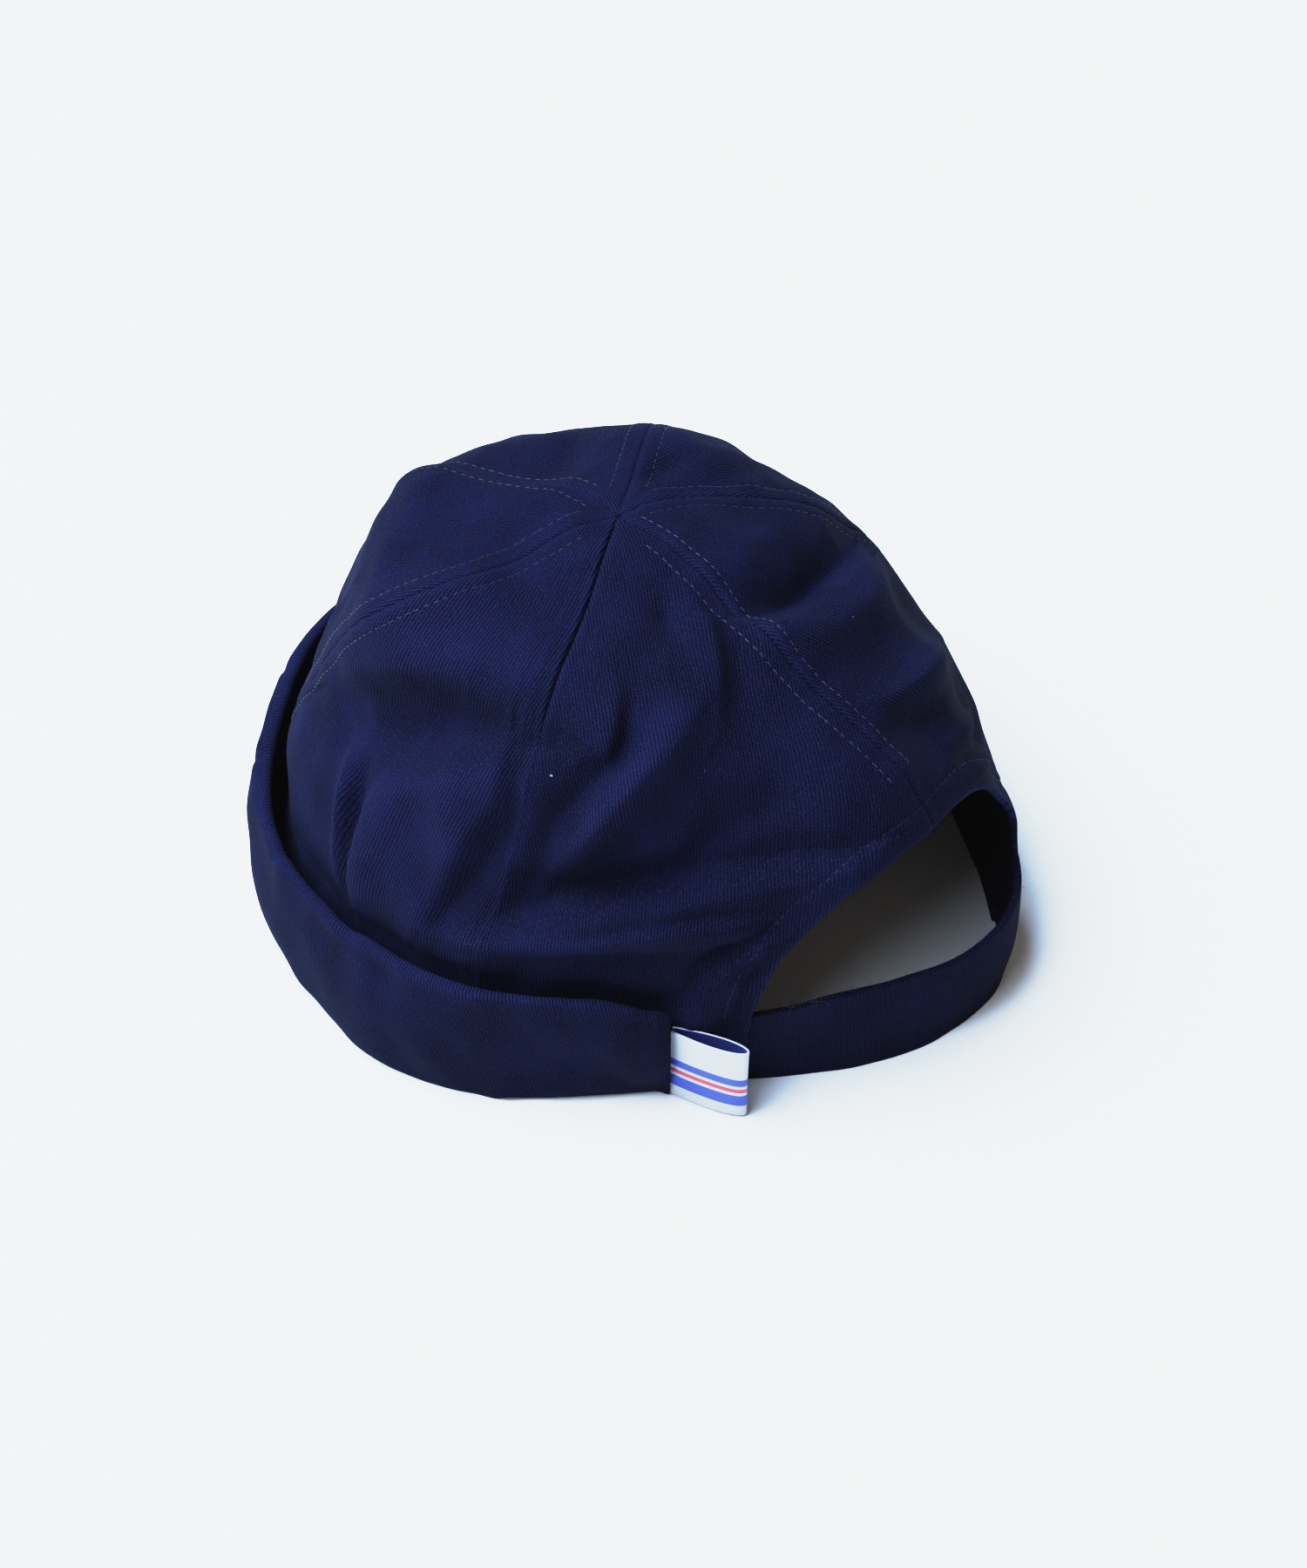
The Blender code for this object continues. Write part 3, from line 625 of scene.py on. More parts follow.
def foldRise(points, lines, total):
    for line, rise, left, right, power in lines:
        distance, place, hand = nearestOnLine(points, line)
        total += rise * taper(place) * bump(distance, np.where(hand > 0, left, right), power)
    return total


def mainRise(points):
    return foldRise(points, mainLines, np.zeros(points.shape[:-1]))


def fineRise(points):
    return foldRise(points, fineLines, ripple(points))


def crown(turn, level):
    turn, level = np.broadcast_arrays(np.asarray(turn, float), np.asarray(level, float))
    plain = plainCrown(turn, level)
    return plain + outward(turn, level) * mainRise(plain)[..., None]


levelSteps = np.linspace(0, 1, 241)


def levelAt(turn, up):  # the level at which the crown is at this height, for each turn
    turn, up = np.broadcast_arrays(np.atleast_1d(np.asarray(turn, float)), np.asarray(up, float))
    found = np.empty(turn.shape)
    for one in np.unique(turn):
        here = turn == one
        found[here] = np.interp(-up[here], -plainCrown(one, levelSteps)[:, 2], levelSteps)
    return found


# Points beside the crown's foot, level with it and offset outwards in plan
def wall(turn, up, offset):
    turn = np.asarray(turn, float)
    level = levelAt(turn, up)
    points = crown(turn, level)
    points[..., 2] = up
    roundIt = crown(turn + 0.5, level) - crown(turn - 0.5, level)
    out = unit(np.cross(roundIt, -upwards))
    return points + out * np.asarray(offset)[..., None]


# Mesh making

def addMesh(name, points, faces, uv=None, wear=None, materials=(twill,), faceMaterial=None):
    mesh = bpy.data.meshes.new(name)
    mesh.from_pydata(np.asarray(points).reshape(-1, 3).tolist(), [], faces)
    mesh.validate()
    mesh.shade_smooth()
    if uv is not None:
        corners = np.empty(len(mesh.loops), np.int32)
        mesh.loops.foreach_get("vertex_index", corners)
        layer = mesh.uv_layers.new(name="cloth")
        layer.data.foreach_set("uv", np.asarray(uv, np.float32).reshape(-1, 2)[corners].ravel())
    if wear is not None:
        layer = mesh.attributes.new("wear", "FLOAT", "POINT")
        layer.data.foreach_set("value", np.asarray(wear, np.float32).ravel())
    for material in materials:
        mesh.materials.append(material)
    if faceMaterial is not None:
        mesh.polygons.foreach_set("material_index", np.asarray(faceMaterial, np.int32))
    obj = bpy.data.objects.new(name, mesh)
    bpy.context.scene.collection.objects.link(obj)
    return obj


def gridFaces(rows, columns, start=0, flip=False):
    corner = (np.arange(rows - 1)[:, None] * columns + np.arange(columns - 1)).ravel() + start
    quads = np.stack([corner, corner + columns, corner + columns + 1, corner + 1], 1)
    return (quads[:, ::-1] if flip else quads).tolist()


# A wall of cloth between two matching grids, with its edges rounded over. The first material is
# its outside and its edges, the last its inside
def addCloth(name, outer, inner, uv, wear, materials=(twill,), edgeRound=0.4):
    rows, columns = outer.shape[:2]
    count = rows * columns
    index = np.arange(count).reshape(rows, columns)
    faces = gridFaces(rows, columns) + gridFaces(rows, columns, count, True)
    split = len(faces) // 2
    edge = np.concatenate([index[0, :-1], index[:-1, -1], index[-1, :0:-1], index[:0:-1, 0]])
    within = np.concatenate([index[1, :-1], index[:-1, -2], index[-2, :0:-1], index[:0:-1, 1]])
    flatOuter, flatInner = outer.reshape(-1, 3), inner.reshape(-1, 3)
    thick = np.linalg.norm(flatOuter[edge] - flatInner[edge], axis=1)[:, None]
    away = flatOuter[edge] - flatOuter[within]
    size = np.linalg.norm(away, axis=1)[:, None]
    away = away / np.maximum(size, 1e-9)
    middle = notBelowFloor((flatOuter[edge] + flatInner[edge]) / 2 + away * thick * edgeRound)
    ring = 2 * count + np.arange(len(edge))
    after = np.roll(ring, -1)
    nextEdge = np.roll(edge, -1)
    faces += np.stack([edge, nextEdge, after, ring], 1).tolist()
    faces += np.stack([ring, after, nextEdge + count, edge + count], 1).tolist()
    points = np.concatenate([flatOuter, flatInner, middle])
    flatUv, flatWear = uv.reshape(-1, 2), wear.ravel()
    side = [0] * split + [len(materials) - 1] * split + [0] * (len(faces) - 2 * split)
    return addMesh(name, points, faces, np.concatenate([flatUv, flatUv, flatUv[edge]]),
                   np.concatenate([flatWear, 0 * flatWear, flatWear[edge]]), materials, side)


# A closed tube of cloth through rings of points, one ring a station
def addTube(name, sections, uv, wear):
    stations, ring = sections.shape[:2]
    index = np.arange(stations * ring).reshape(stations, ring)
    after = np.roll(index, -1, axis=1)
    faces = np.stack([index[:-1], after[:-1], after[1:], index[1:]], -1).reshape(-1, 4).tolist()
    faces.append(index[0, ::-1].tolist())
    faces.append(index[-1].tolist())
    return addMesh(name, sections, faces, uv, wear)


def turnUv(u, v, degrees):  # lays the wales at an angle to the piece
    angle = math.radians(degrees)
    return np.stack([u * math.cos(angle) - v * math.sin(angle),
                     u * math.sin(angle) + v * math.cos(angle)], -1)


def ringsUv(rings, degrees):  # the same for a band, along its rings and round each of them
    around = np.stack([runOf(ring) for ring in rings])
    return turnUv(runOf(rings[:, -1])[:, None] + 0 * around, around, degrees)


# Many short rods as one mesh: stitches, fibres and lint. Each is a row of points with normals
def addRods(name, paths, normals, radii, material, tints=None, sides=6):
    count, rings = paths.shape[:2]
    tangent = unit(np.gradient(paths, axis=1))
    across = unit(np.cross(tangent, normals))
    up = np.cross(across, tangent)
    angle = np.arange(sides) * 2 * np.pi / sides
    points = (paths[:, :, None, :]
              + radii[..., None, None] * (np.cos(angle)[:, None] * across[:, :, None, :]
                                          + np.sin(angle)[:, None] * up[:, :, None, :]))
    index = np.arange(count * rings * sides).reshape(count, rings, sides)
    after = np.roll(index, -1, axis=2)
    faces = np.stack([index[:, :-1], after[:, :-1], after[:, 1:], index[:, 1:]], -1).reshape(-1, 4).tolist()
    faces += index[:, 0, ::-1].tolist()
    faces += index[:, -1].tolist()
    obj = addMesh(name, points, faces, materials=(material,))
    if tints is not None:
        layer = obj.data.attributes.new("tint", "FLOAT_COLOR", "POINT")
        everyPoint = np.repeat(np.array(tints, np.float32), rings * sides, axis=0)
        layer.data.foreach_set("color", everyPoint.ravel())
    return obj


def mount(obj, slot, *nodes):  # every piece rides with the cap, and may stand for solids
    obj.location = capShift
    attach(obj, body)
    if nodes:
        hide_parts(*nodes)
    return obj


# The cuff, turned up round the front and sides

cuffShape = {
    "height": 0.038,
    "thickness": 0.0036,
    "cloth": 0.0011,  # each of its two layers
    "roll": 0.007,  # how high the round of the fold at the floor reaches
    "rollInMm": 0.8,  # how far in it goes at the floor
    "rollMoreMm": 1.8,  # and how much further away from the open back
    "rollMoreTurns": (78, 105, 200, 300),
    "unevenness": 1.2,
    "endPinch": 0.45,
    "topWear": 0.35,
    "belly": 0.0016,
    "lean": 0.0050,
    "leanPower": 1.5,
    "bellyPower": 0.8,
    "leftEnd": 39.7,
    "rightEnd": 322.0,
    "gap": 0.0003,
    "sections": (
        # place from the left end to the right, then shares of height, lean and thickness
        (0.00, 0.90, 0.20, 0.80),
        (0.02, 1.01, 0.25, 0.92),
        (0.06, 1.08, 0.34, 1.00),
        (0.12, 1.06, 0.40, 1.00),
        (0.18, 1.02, 0.36, 1.15),
        (0.28, 1.00, 0.34, 1.35),
        (0.36, 1.06, 0.50, 1.40),
        (0.42, 1.14, 0.86, 1.30),
        (0.50, 1.04, 0.75, 1.10),
        (0.71, 1.00, 0.50, 1.00),
        (0.90, 0.97, 0.10, 0.80),
        (1.00, 0.87, 0.00, 0.70),
    ),
    "solidSections": (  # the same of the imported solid, which says where the cap lies
        (0.00, 0.87, 0.25, 0.80),
        (0.06, 0.96, 0.50, 1.00),
        (0.18, 0.99, 0.72, 1.00),
        (0.28, 1.00, 0.95, 1.00),
        (0.39, 1.00, 1.00, 1.00),
        (0.50, 1.00, 0.80, 1.00),
        (0.71, 1.00, 0.50, 1.00),
        (0.90, 0.97, 0.10, 0.80),
        (1.00, 0.87, 0.00, 0.70),
    ),
    "notches": (
        # turn, drop mm, half width in degrees, where the fold on top is pinched
        (44, 0.7, 1.6),
        (95, 0.9, 2.6),
        (115, 0.8, 1.2),
        (136, 1.3, 1.3),
        (155, 1.2, 1.5),
        (176, 0.8, 2.0),
        (208, 0.9, 1.8),
        (251, 0.8, 2.4),
        (293, 0.7, 2.0),
    ),
    "notchFrom": 0.55,  # share of the height above which a pinch shows
    "notchIn": 0.5,  # how far it draws in, as a share of its drop
    "bulge": (80, 21, 4.3),  # turn, half width in degrees, and mm that the foot stands out there
    "bulgePower": 1.2,
    "stations": 420,
    "rows": 24,
    "waleTurn": -14.0,
}
cuffTable = np.array(cuffShape["sections"])
plainCuffTable = np.array(cuffShape["solidSections"])


def cuffSection(turn, rows, dressed=True):
    shape = cuffShape
    place = (turn - shape["leftEnd"]) / (shape["rightEnd"] - shape["leftEnd"])
    table = cuffTable if dressed else plainCuffTable
    heightShare, leanShare, thicknessShare = smoothLine(table[:, 0], table[:, 1:], place)
    thickness = shape["thickness"] * thicknessShare
    half = thickness / 2
    shoulder = shape["height"] * heightShare - half
    rise = np.linspace(0, 1, rows + 1)
    inside = shape["gap"] + shape["lean"] * leanShare * rise ** shape["leanPower"]
    outside = inside + thickness + shape["belly"] * np.sin(np.pi * rise ** shape["bellyPower"])
    if dressed:  # the turned fold at the floor is round, not square
        fromFloor = np.clip(rise * shoulder / shape["roll"], 0, 1)
        start, full, last, end = shape["rollMoreTurns"]
        more = shape["rollMoreMm"] * mm * smoothStep(start, full, turn) * smoothStep(end, last, turn)
        outside -= (shape["rollInMm"] * mm + more) * (1 - np.sqrt(1 - (1 - fromFloor) ** 2))
        bulgeTurn, bulgeWide, bulgeMm = shape["bulge"]
        outside += bulgeMm * mm * bump(turn - bulgeTurn, bulgeWide) * (1 - rise) ** shape["bulgePower"]
    over = np.linspace(np.pi, 0, (rows // 2 if dressed else rows) + 1)[1:-1]
    middle = (inside[-1] + outside[-1]) / 2
    offsets = np.concatenate([inside, middle + half * np.cos(over), outside[::-1]])
    heights = np.concatenate([shoulder * rise, shoulder + half * np.sin(over), shoulder * rise[::-1]])
    if dressed:
        outerSide = np.concatenate([0 * inside, 0.5 - 0.5 * np.cos(np.pi - over), 0 * outside + 1])
        topness = smoothStep(shape["notchFrom"], 1.0, heights / (shoulder + half))
        for notchTurn, dropMm, wide in shape["notches"]:
            here = bump(turn - notchTurn, wide) * topness
            heights = heights - dropMm * mm * here
            offsets = offsets - shape["notchIn"] * dropMm * mm * here * outerSide
    return wall(np.full(len(offsets), turn), heights, offsets)


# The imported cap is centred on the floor, so its cuff says how far this surface has to move
coarse = np.stack([cuffSection(turn, 5, False) for turn in
                   np.linspace(cuffShape["leftEnd"], cuffShape["rightEnd"], 77)]).reshape(-1, 3)
low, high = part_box("cuff")
capShift = (low + high) / 2 - Vector((coarse.min(0) + coarse.max(0)) / 2)
capShift.z = 0
print("cap shift in mm:", [round(v * 1000, 2) for v in capShift])

turns = np.linspace(cuffShape["leftEnd"], cuffShape["rightEnd"], cuffShape["stations"] + 1)
cuffRings = np.stack([cuffSection(turn, cuffShape["rows"]) for turn in turns])
tilt = cuffShape["unevenness"] * ripple(cuffRings)
ringMiddle = cuffRings.mean(axis=1, keepdims=True)
ringOut = unit((cuffRings - ringMiddle) * inPlan + 1e-9 * upwards)  # never quite without length
axisOut = unit(ringMiddle * inPlan)
outerShare = smoothStep(-0.2, 0.8, (ringOut * axisOut).sum(-1))
cuffRings = cuffRings + axisOut * (tilt * outerShare)[..., None]
fromEnd = np.arange(len(turns))
pinch = 1 - cuffShape["endPinch"] * np.maximum(bump(fromEnd, 2.0), bump(fromEnd[::-1], 2.0))
flat = cuffRings.mean(axis=1, keepdims=True) * inPlan + cuffRings * upwards
cuffRings = flat + (cuffRings - flat) * pinch[:, None, None]
topShare = smoothStep(0.90, 1.0, cuffRings[..., 2] / cuffRings[..., 2].max(axis=1, keepdims=True))
cuffSkin = skinOf(cuffRings)
cuffSkin *= np.sign((cuffSkin * (cuffRings - flat)).sum(-1).mean())
cuffInner = notBelowFloor(cuffRings - cuffSkin * (cuffShape["cloth"] * pinch)[:, None, None])
cuff = mount(addCloth("turned_up_cuff", cuffRings, cuffInner, ringsUv(cuffRings, cuffShape["waleTurn"]),
                      cuffShape["topWear"] * topShare, edgeRound=0.25),
             "cuff_twill", "cuff")
print("cuff", len(cuff.data.polygons), "faces")


# The arched opening at the back

archShape = {"height": 0.075, "halfTurn": 27.0, "powers": (1.9, 2.6), "hemMm": 7.0}  # to left and right
strapShape = {
    "height": 0.029,
    "thickness": 0.0020,
    "crest": 0.6,  # how round its top edge is, from square to a half circle
    "uprightTurn": 8.0,  # where it stands upright, while its ends lean with the crown
    "uprightSpread": 13.0,
    "unevenness": 0.7,
    "topWear": 0.4,
    "stations": 200,
    "rows": 22,
    "waleTurn": 4.0,
}


def archHeight(turn):
    share = np.clip(np.abs(turn) / archShape["halfTurn"], 0, 1)
    foot = strapShape["height"]
    power = np.where(turn > 0, *archShape["powers"])
    return foot + (archShape["height"] - foot) * np.sqrt(1 - share**power)


# The crown's six panels and the seams between them

panelShape = {
    "rows": 176,
    "columns": 112,
    "edgeSteps": (160, 39, 79),  # along the arch, down its foot and along the rim
    "gap": 0.00012,
    "hemRiseMm": 0.25,
    "hemDipMm": 0.25,
    "hemThread": 0.28,  # how thick its thread shows
    "hemFromRow": 60,
    "tuckMm": 3.0,  # how far the cuff draws the crown in
    "tuckAtMm": (31, 13),  # how high, and how far up and down
    "coveredMm": (20, 36),  # heights between which the folds come out from behind the cuff
    "stitchesFromMm": 24,  # the cuff hides them lower down
    "seamWear": 0.22,
    "crestWear": 0.25,
    "hemWear": 0.6,
    "archShare": 0.72,  # what is left of a back panel once the arch is cut out
    "pieces": (
        # node, how far its wales turn from the panel's middle line
        ("panel_back_left", 4.0),
        ("panel_left", -12.0),
        ("panel_front_left", 9.0),
        ("panel_front_right", -7.0),
        ("panel_right", 10.0),
        ("panel_back_right", -9.0),
    ),
}
seamShapes = (
    # turns at five levels from top to rim, how thick its thread shows, topstitch mm to its left and
    # right, groove mm, band mm, the groove's width mm, how far down in mm it stays a groove
    ((-6, 1, -2.5, -3.5, -4), 0.85, 4.5, 3.2, 0.48, 0.24, 0.6, 200),
    ((59, 63, 66.5, 71, 73), 0.0, 5.5, 0.0, 0.8, 0.20, 0.45, 66),
    ((118, 108, 128, 142, 147), 0.65, 4.5, 4.5, 0.22, 0.16, 0.8, 200),
    ((198, 171, 175, 184, 188), 0.65, 4.5, 4.5, 0.22, 0.16, 0.8, 200),
    ((240, 238, 239, 240.5, 242), 0.65, 4.5, 4.5, 0.25, 0.18, 0.8, 200),
    ((278, 294.5, 294, 297, 300), 0.65, 4.5, 4.5, 0.25, 0.18, 0.8, 200),
)


seamForm = {
    "rowShare": 0.42,  # a row of stitches keeps within this share of the panel's width
    "bandFadeMm": (4, 14),  # how far from the crown's top a sewn seam begins to rise
    "grooveFadeMm": (0.5, 5),
    "bandEdgeMm": (0.9, -0.6),  # over which the doubled cloth ends, outside its row of stitches
    "plainWideMm": 2.2,  # how far a seam without stitches rises to each side
    "closeMm": 12.0,  # half the length over which a groove turns into a low ridge
    "ridgeMm": 0.42,
    "dipMm": (0.12, 0.7),  # how far the stitches draw the cloth in, and how far round them
    "puckerMm": (0.06, 6.0, 9.0, 11.0),  # rise, reach, spacing, and length of the spacing's drift
}


def seamTurn(turns, level):
    return smoothLine(np.linspace(0, 1, 5), np.array(turns, float), level)


# Where a back panel's columns end: along the arch, down its foot, along the rim
def archPath(first, second, places):
    half = archShape["halfTurn"]
    archSteps, footSteps, rimSteps = panelShape["edgeSteps"]
    leftSide = seamTurn(second, 1.0) > half
    foot = half if leftSide else -half
    middleSeam, outerSeam = (first, second) if leftSide else (second, first)
    seamEnd = seamTurn(middleSeam, levelAt(0.0, archShape["height"])[0])
    swing = np.linspace(math.asin(seamEnd / half), math.copysign(math.pi / 2, foot), archSteps)
    archTurns = half * np.sin(swing)
    archLevels = levelAt(archTurns, archHeight(archTurns))
    footLevels = np.linspace(archLevels[-1], 1, footSteps + 1)[1:]
    rimTurns = np.linspace(foot, seamTurn(outerSeam, 1.0), rimSteps + 1)[1:]
    turns = np.concatenate([archTurns, np.full(footSteps, foot), rimTurns])
    levels = np.concatenate([archLevels, footLevels, np.ones(rimSteps)])
    edge = plainCrown(turns, levels)
    run = runOf(edge)
    places = places.copy()
    for corner in (archSteps - 1, archSteps + footSteps - 1):  # each corner gets a column
        places[np.abs(places - run[corner] / run[-1]).argmin()] = run[corner] / run[-1]
    turns = np.interp(places * run[-1], run, turns)
    levels = np.interp(places * run[-1], run, levels)
    across = (turns - seamTurn(first, levels)) / (seamTurn(second, levels) - seamTurn(first, levels))
    if not leftSide:
        across, levels, places = across[::-1], levels[::-1], 1 - places[::-1]
    across[0], across[-1] = 0, 1
    return places, across, levels, edge[: archSteps + footSteps]


def seamRise(distance, width, down, stitchMm, groove, band, spread, openMm):
    form = seamForm
    row = np.minimum(stitchMm * mm, form["rowShare"] * width)
    fade, grooveFade = (smoothStep(form[name][0] * mm, form[name][1] * mm, down)
                        for name in ("bandFadeMm", "grooveFadeMm"))
    opened = smoothStep((openMm + form["closeMm"]) * mm, (openMm - form["closeMm"]) * mm, down)
    depth = (groove + band) * opened - form["ridgeMm"] * (1 - opened)
    over, upTo = form["bandEdgeMm"]
    edge = smoothStep(over * mm, upTo * mm, distance - row)
    if not stitchMm:
        edge = bump(distance, form["plainWideMm"] * mm)
    lift = band * mm * fade * edge
    dipMm, dipWideMm = form["dipMm"]
    dip = dipMm * mm * fade * bump(distance - row, dipWideMm * mm) if stitchMm else 0
    puckerMm, reachMm, spacingMm, driftMm = form["puckerMm"]
    pucker = puckerMm * mm * fade * bump(distance, reachMm * mm) * np.sin(
        2 * np.pi * down / (spacingMm * mm) + 3.0 * np.sin(down / (driftMm * mm)))
    return lift - dip + pucker - depth * mm * grooveFade * bump(distance, spread * mm, 1.4)


def underCuff(turn):  # 1 where the cuff covers the crown's foot, 0 at the open back
    turn = turn % 360
    return (smoothStep(cuffShape["leftEnd"] - 3, cuffShape["leftEnd"] + 1, turn)
            * smoothStep(cuffShape["rightEnd"] + 3, cuffShape["rightEnd"] - 1, turn))


meridian = plainCrown(0.0, levelSteps)
tipLevel = crownShape["tip"] / runOf(meridian)[-1]
stitchLines = []


def stitchAlong(outer, normals, spots, size):
    rows = np.arange(len(spots))
    low = np.floor(spots).astype(int).clip(0, outer.shape[1] - 2)
    share = (spots - low)[:, None]
    stitchLines.append((outer[rows, low] * (1 - share) + outer[rows, low + 1] * share,
                        unit(normals[rows, low] * (1 - share) + normals[rows, low + 1] * share), size))


def makePanel(number, node, waleTurn):
    shape = panelShape
    first, firstThread, firstStitch, _, *firstForm = seamShapes[number]
    second, secondThread, _, secondStitch, *secondForm = seamShapes[(number + 1) % 6]
    if second[0] < first[0]:
        first = tuple(turn - 360 for turn in first)
    even = denseEnds(shape["columns"])
    arch = None
    if "back" in node:
        even, across, ends, arch = archPath(first, second, even)
    else:
        across, ends = even, np.ones(len(even))
    down = np.linspace(0, 1, shape["rows"] + 1)[:, None]
    level = tipLevel + (ends - tipLevel) * down
    place = even + (across - even) * down**2
    # the panel's width and its middle's length at each level, which also lay the weave out flat
    share = np.linspace(0, 1, 25)
    strip = plainCrown(seamTurn(first, levelSteps)[:, None] * (1 - share)
                       + seamTurn(second, levelSteps)[:, None] * share, levelSteps[:, None])
    widths = np.linalg.norm(np.diff(strip, axis=1), axis=-1).sum(1)
    lengths = runOf(strip[:, len(share) // 2])
    width = np.interp(level, levelSteps, widths)
    length = np.interp(level, levelSteps, lengths)
    inset = shape["gap"] / width
    place = inset + (1 - 2 * inset) * place
    low, high = seamTurn(first, level), seamTurn(second, level)
    turn = low + (high - low) * place
    plain = plainCrown(turn, level)
    normals = outward(turn, level)
    coveredTo, clearFrom = shape["coveredMm"]
    covered = underCuff(turn) * (1 - smoothStep(coveredTo * mm, clearFrom * mm, plain[..., 2]))
    base = mainRise(plain) + fineRise(plain) * (1 - covered) * smoothStep(0, 12 * mm, length)
    fromFirst, fromSecond = place * width, (1 - place) * width
    seams = (seamRise(fromFirst, width, length, firstStitch, *firstForm)
             + seamRise(fromSecond, width, length, secondStitch, *secondForm))
    seams = np.where(covered > 0, np.minimum(seams, seams * (1 - covered)), seams)
    tuckUp, tuckWide = shape["tuckAtMm"]
    base -= shape["tuckMm"] * mm * underCuff(turn) * bump(plain[..., 2] - tuckUp * mm, tuckWide * mm)
    wear = shape["crestWear"] * smoothStep(0.6 * mm, 2.6 * mm, base)
    for distance in (fromFirst, fromSecond):
        wear += shape["seamWear"] * bump(distance - 1.1 * mm, 0.8 * mm)
    if arch is not None:
        fromArch = nearestOnLine(plain, arch[::4])[0]
        hem = archShape["hemMm"] * mm
        seams += shape["hemRiseMm"] * mm * smoothStep(hem + 0.8 * mm, hem - 0.6 * mm, fromArch)
        seams -= shape["hemDipMm"] * mm * bump(fromArch - hem, 0.7 * mm)
        wear += shape["hemWear"] * bump(fromArch, 0.9 * mm)
    outer = notBelowFloor(plain + normals * (base + seams)[..., None])
    inner = notBelowFloor(plain + normals * (base - crownShape["cloth"])[..., None])
    skin = skinOf(outer)
    skin *= np.sign((skin * normals).sum(-1, keepdims=True))

    piece = addCloth(node.replace("panel", "crown"), outer, inner,
                     turnUv((place - 0.5) * width, length, waleTurn), np.clip(wear, 0, 1))
    mount(piece, "twill", node)

    for distance, stitchMm, thread in ((fromFirst, firstStitch, firstThread),
                                       (-fromSecond, -secondStitch, secondThread)):
        if not stitchMm or not thread:
            continue
        rows = seamForm["rowShare"] * width[:, 0] > abs(stitchMm) * mm
        rows &= outer[:, (5, -5), 2].min(axis=1) > shape["stitchesFromMm"] * mm
        spots = np.array([np.interp(stitchMm * mm, row, np.arange(len(row))) for row in distance[rows]])
        stitchAlong(outer[rows], skin[rows], spots, thread)
    if arch is not None:
        columns = fromArch[-1] < 1 * mm
        lower = np.arange(shape["hemFromRow"], len(fromArch))
        spots = np.array([np.interp(-hem, -column, lower) for column in fromArch[lower][:, columns].T])
        stitchAlong(outer[:, columns].transpose(1, 0, 2), skin[:, columns].transpose(1, 0, 2), spots,
                    shape["hemThread"])
    return piece


for number, (node, waleTurn) in enumerate(panelShape["pieces"]):
    piece = makePanel(number, node, waleTurn)
    print(piece.name, len(piece.data.polygons), "faces")


# Topstitching in short dashes along the seams and the arch's hem

stitchShape = {
    "pitchMm": 2.5,
    "lengthMm": 1.9,
    "radiusMm": 0.15,
    "firstMm": (0.2, 1.2),  # where the first one may start
    "unevenMm": 0.15,
    "lengthShares": (0.8, 1.05),
    "endShare": 0.55,  # how thick its ends are
    "arch": 1.15,  # how far it arches up, in radii
    "sunk": (0.70, 1.0),  # how deep its ends lie, in radii
    "rings": 6,
}


def makeStitches(name, lines, shape):
    paths, normals, radii = [], [], []
    share = np.linspace(0, 1, shape["rings"])
    full = shape["endShare"] + (1 - shape["endShare"]) * np.sin(np.pi * share) ** 0.5
    length = shape["lengthMm"] * mm
    for points, ups, size in lines:
        run = runOf(points)
        radius = shape["radiusMm"] * mm * size
        starts = np.arange(chance.uniform(*shape["firstMm"]) * mm, run[-1] - length, shape["pitchMm"] * mm)
        for start in starts + chance.normal(0, shape["unevenMm"] * mm, len(starts)):
            spot = start + share * length * chance.uniform(*shape["lengthShares"])
            middle, up = (np.stack([np.interp(spot, run, line[:, k]) for k in range(3)], 1)
                          for line in (points, ups))
            up = unit(up)
            sunk = radius * (shape["arch"] * np.sin(np.pi * share) ** 0.6 - chance.uniform(*shape["sunk"]))
            paths.append(middle + up * sunk[:, None])
            normals.append(up)
            radii.append(radius * full)
    return addRods(name, np.array(paths), np.array(normals), np.array(radii), threadFinish)


stitches = mount(makeStitches("topstitching", stitchLines, stitchShape), "twill")
print("topstitching", len(stitches.data.polygons), "faces")


# The strap across the back opening, with a raw top edge that sheds fibres

def strapSection(turn):
    shape = strapShape
    half = shape["thickness"] / 2
    rise = np.linspace(0, 1, shape["rows"] + 1)
    over = np.linspace(0, np.pi, 9)[1:-1]
    crest = shape["crest"] * half
    top = shape["height"] - crest
    heights = np.concatenate([rise * top, top + crest * np.sin(over), rise[::-1] * top])
    offsets = np.concatenate([-2 * half + 0 * rise, -half - half * np.cos(over), 0 * rise])
    turns = np.full(len(heights), turn)
    leaning = wall(turns, heights, offsets)
    upright = wall(turns, 0 * heights, offsets)
    upright[:, 2] = heights
    leanShare = 1 - math.exp(-(((turn - shape["uprightTurn"]) / shape["uprightSpread"]) ** 2))
    return upright + (leaning - upright) * leanShare


reach = archShape["halfTurn"] - 0.15
strapTurns = np.linspace(reach, -reach, strapShape["stations"] + 1)
strapRings = np.stack([strapSection(turn) for turn in strapTurns])
fromEnds = np.sin(np.linspace(0, np.pi, len(strapTurns)))[:, None]
drift = strapShape["unevenness"] * ripple(strapRings) * fromEnds
strapOut = unit(strapRings.mean(axis=1, keepdims=True) * inPlan)
strapRings = strapRings + strapOut * drift[..., None]
strapTop = smoothStep(0.95, 1.0, strapRings[..., 2] / strapShape["height"])
strap = mount(addTube("cloth_back_strap", strapRings, ringsUv(strapRings, strapShape["waleTurn"]),
                      strapShape["topWear"] * strapTop),
              "strap_twill", "back_strap")

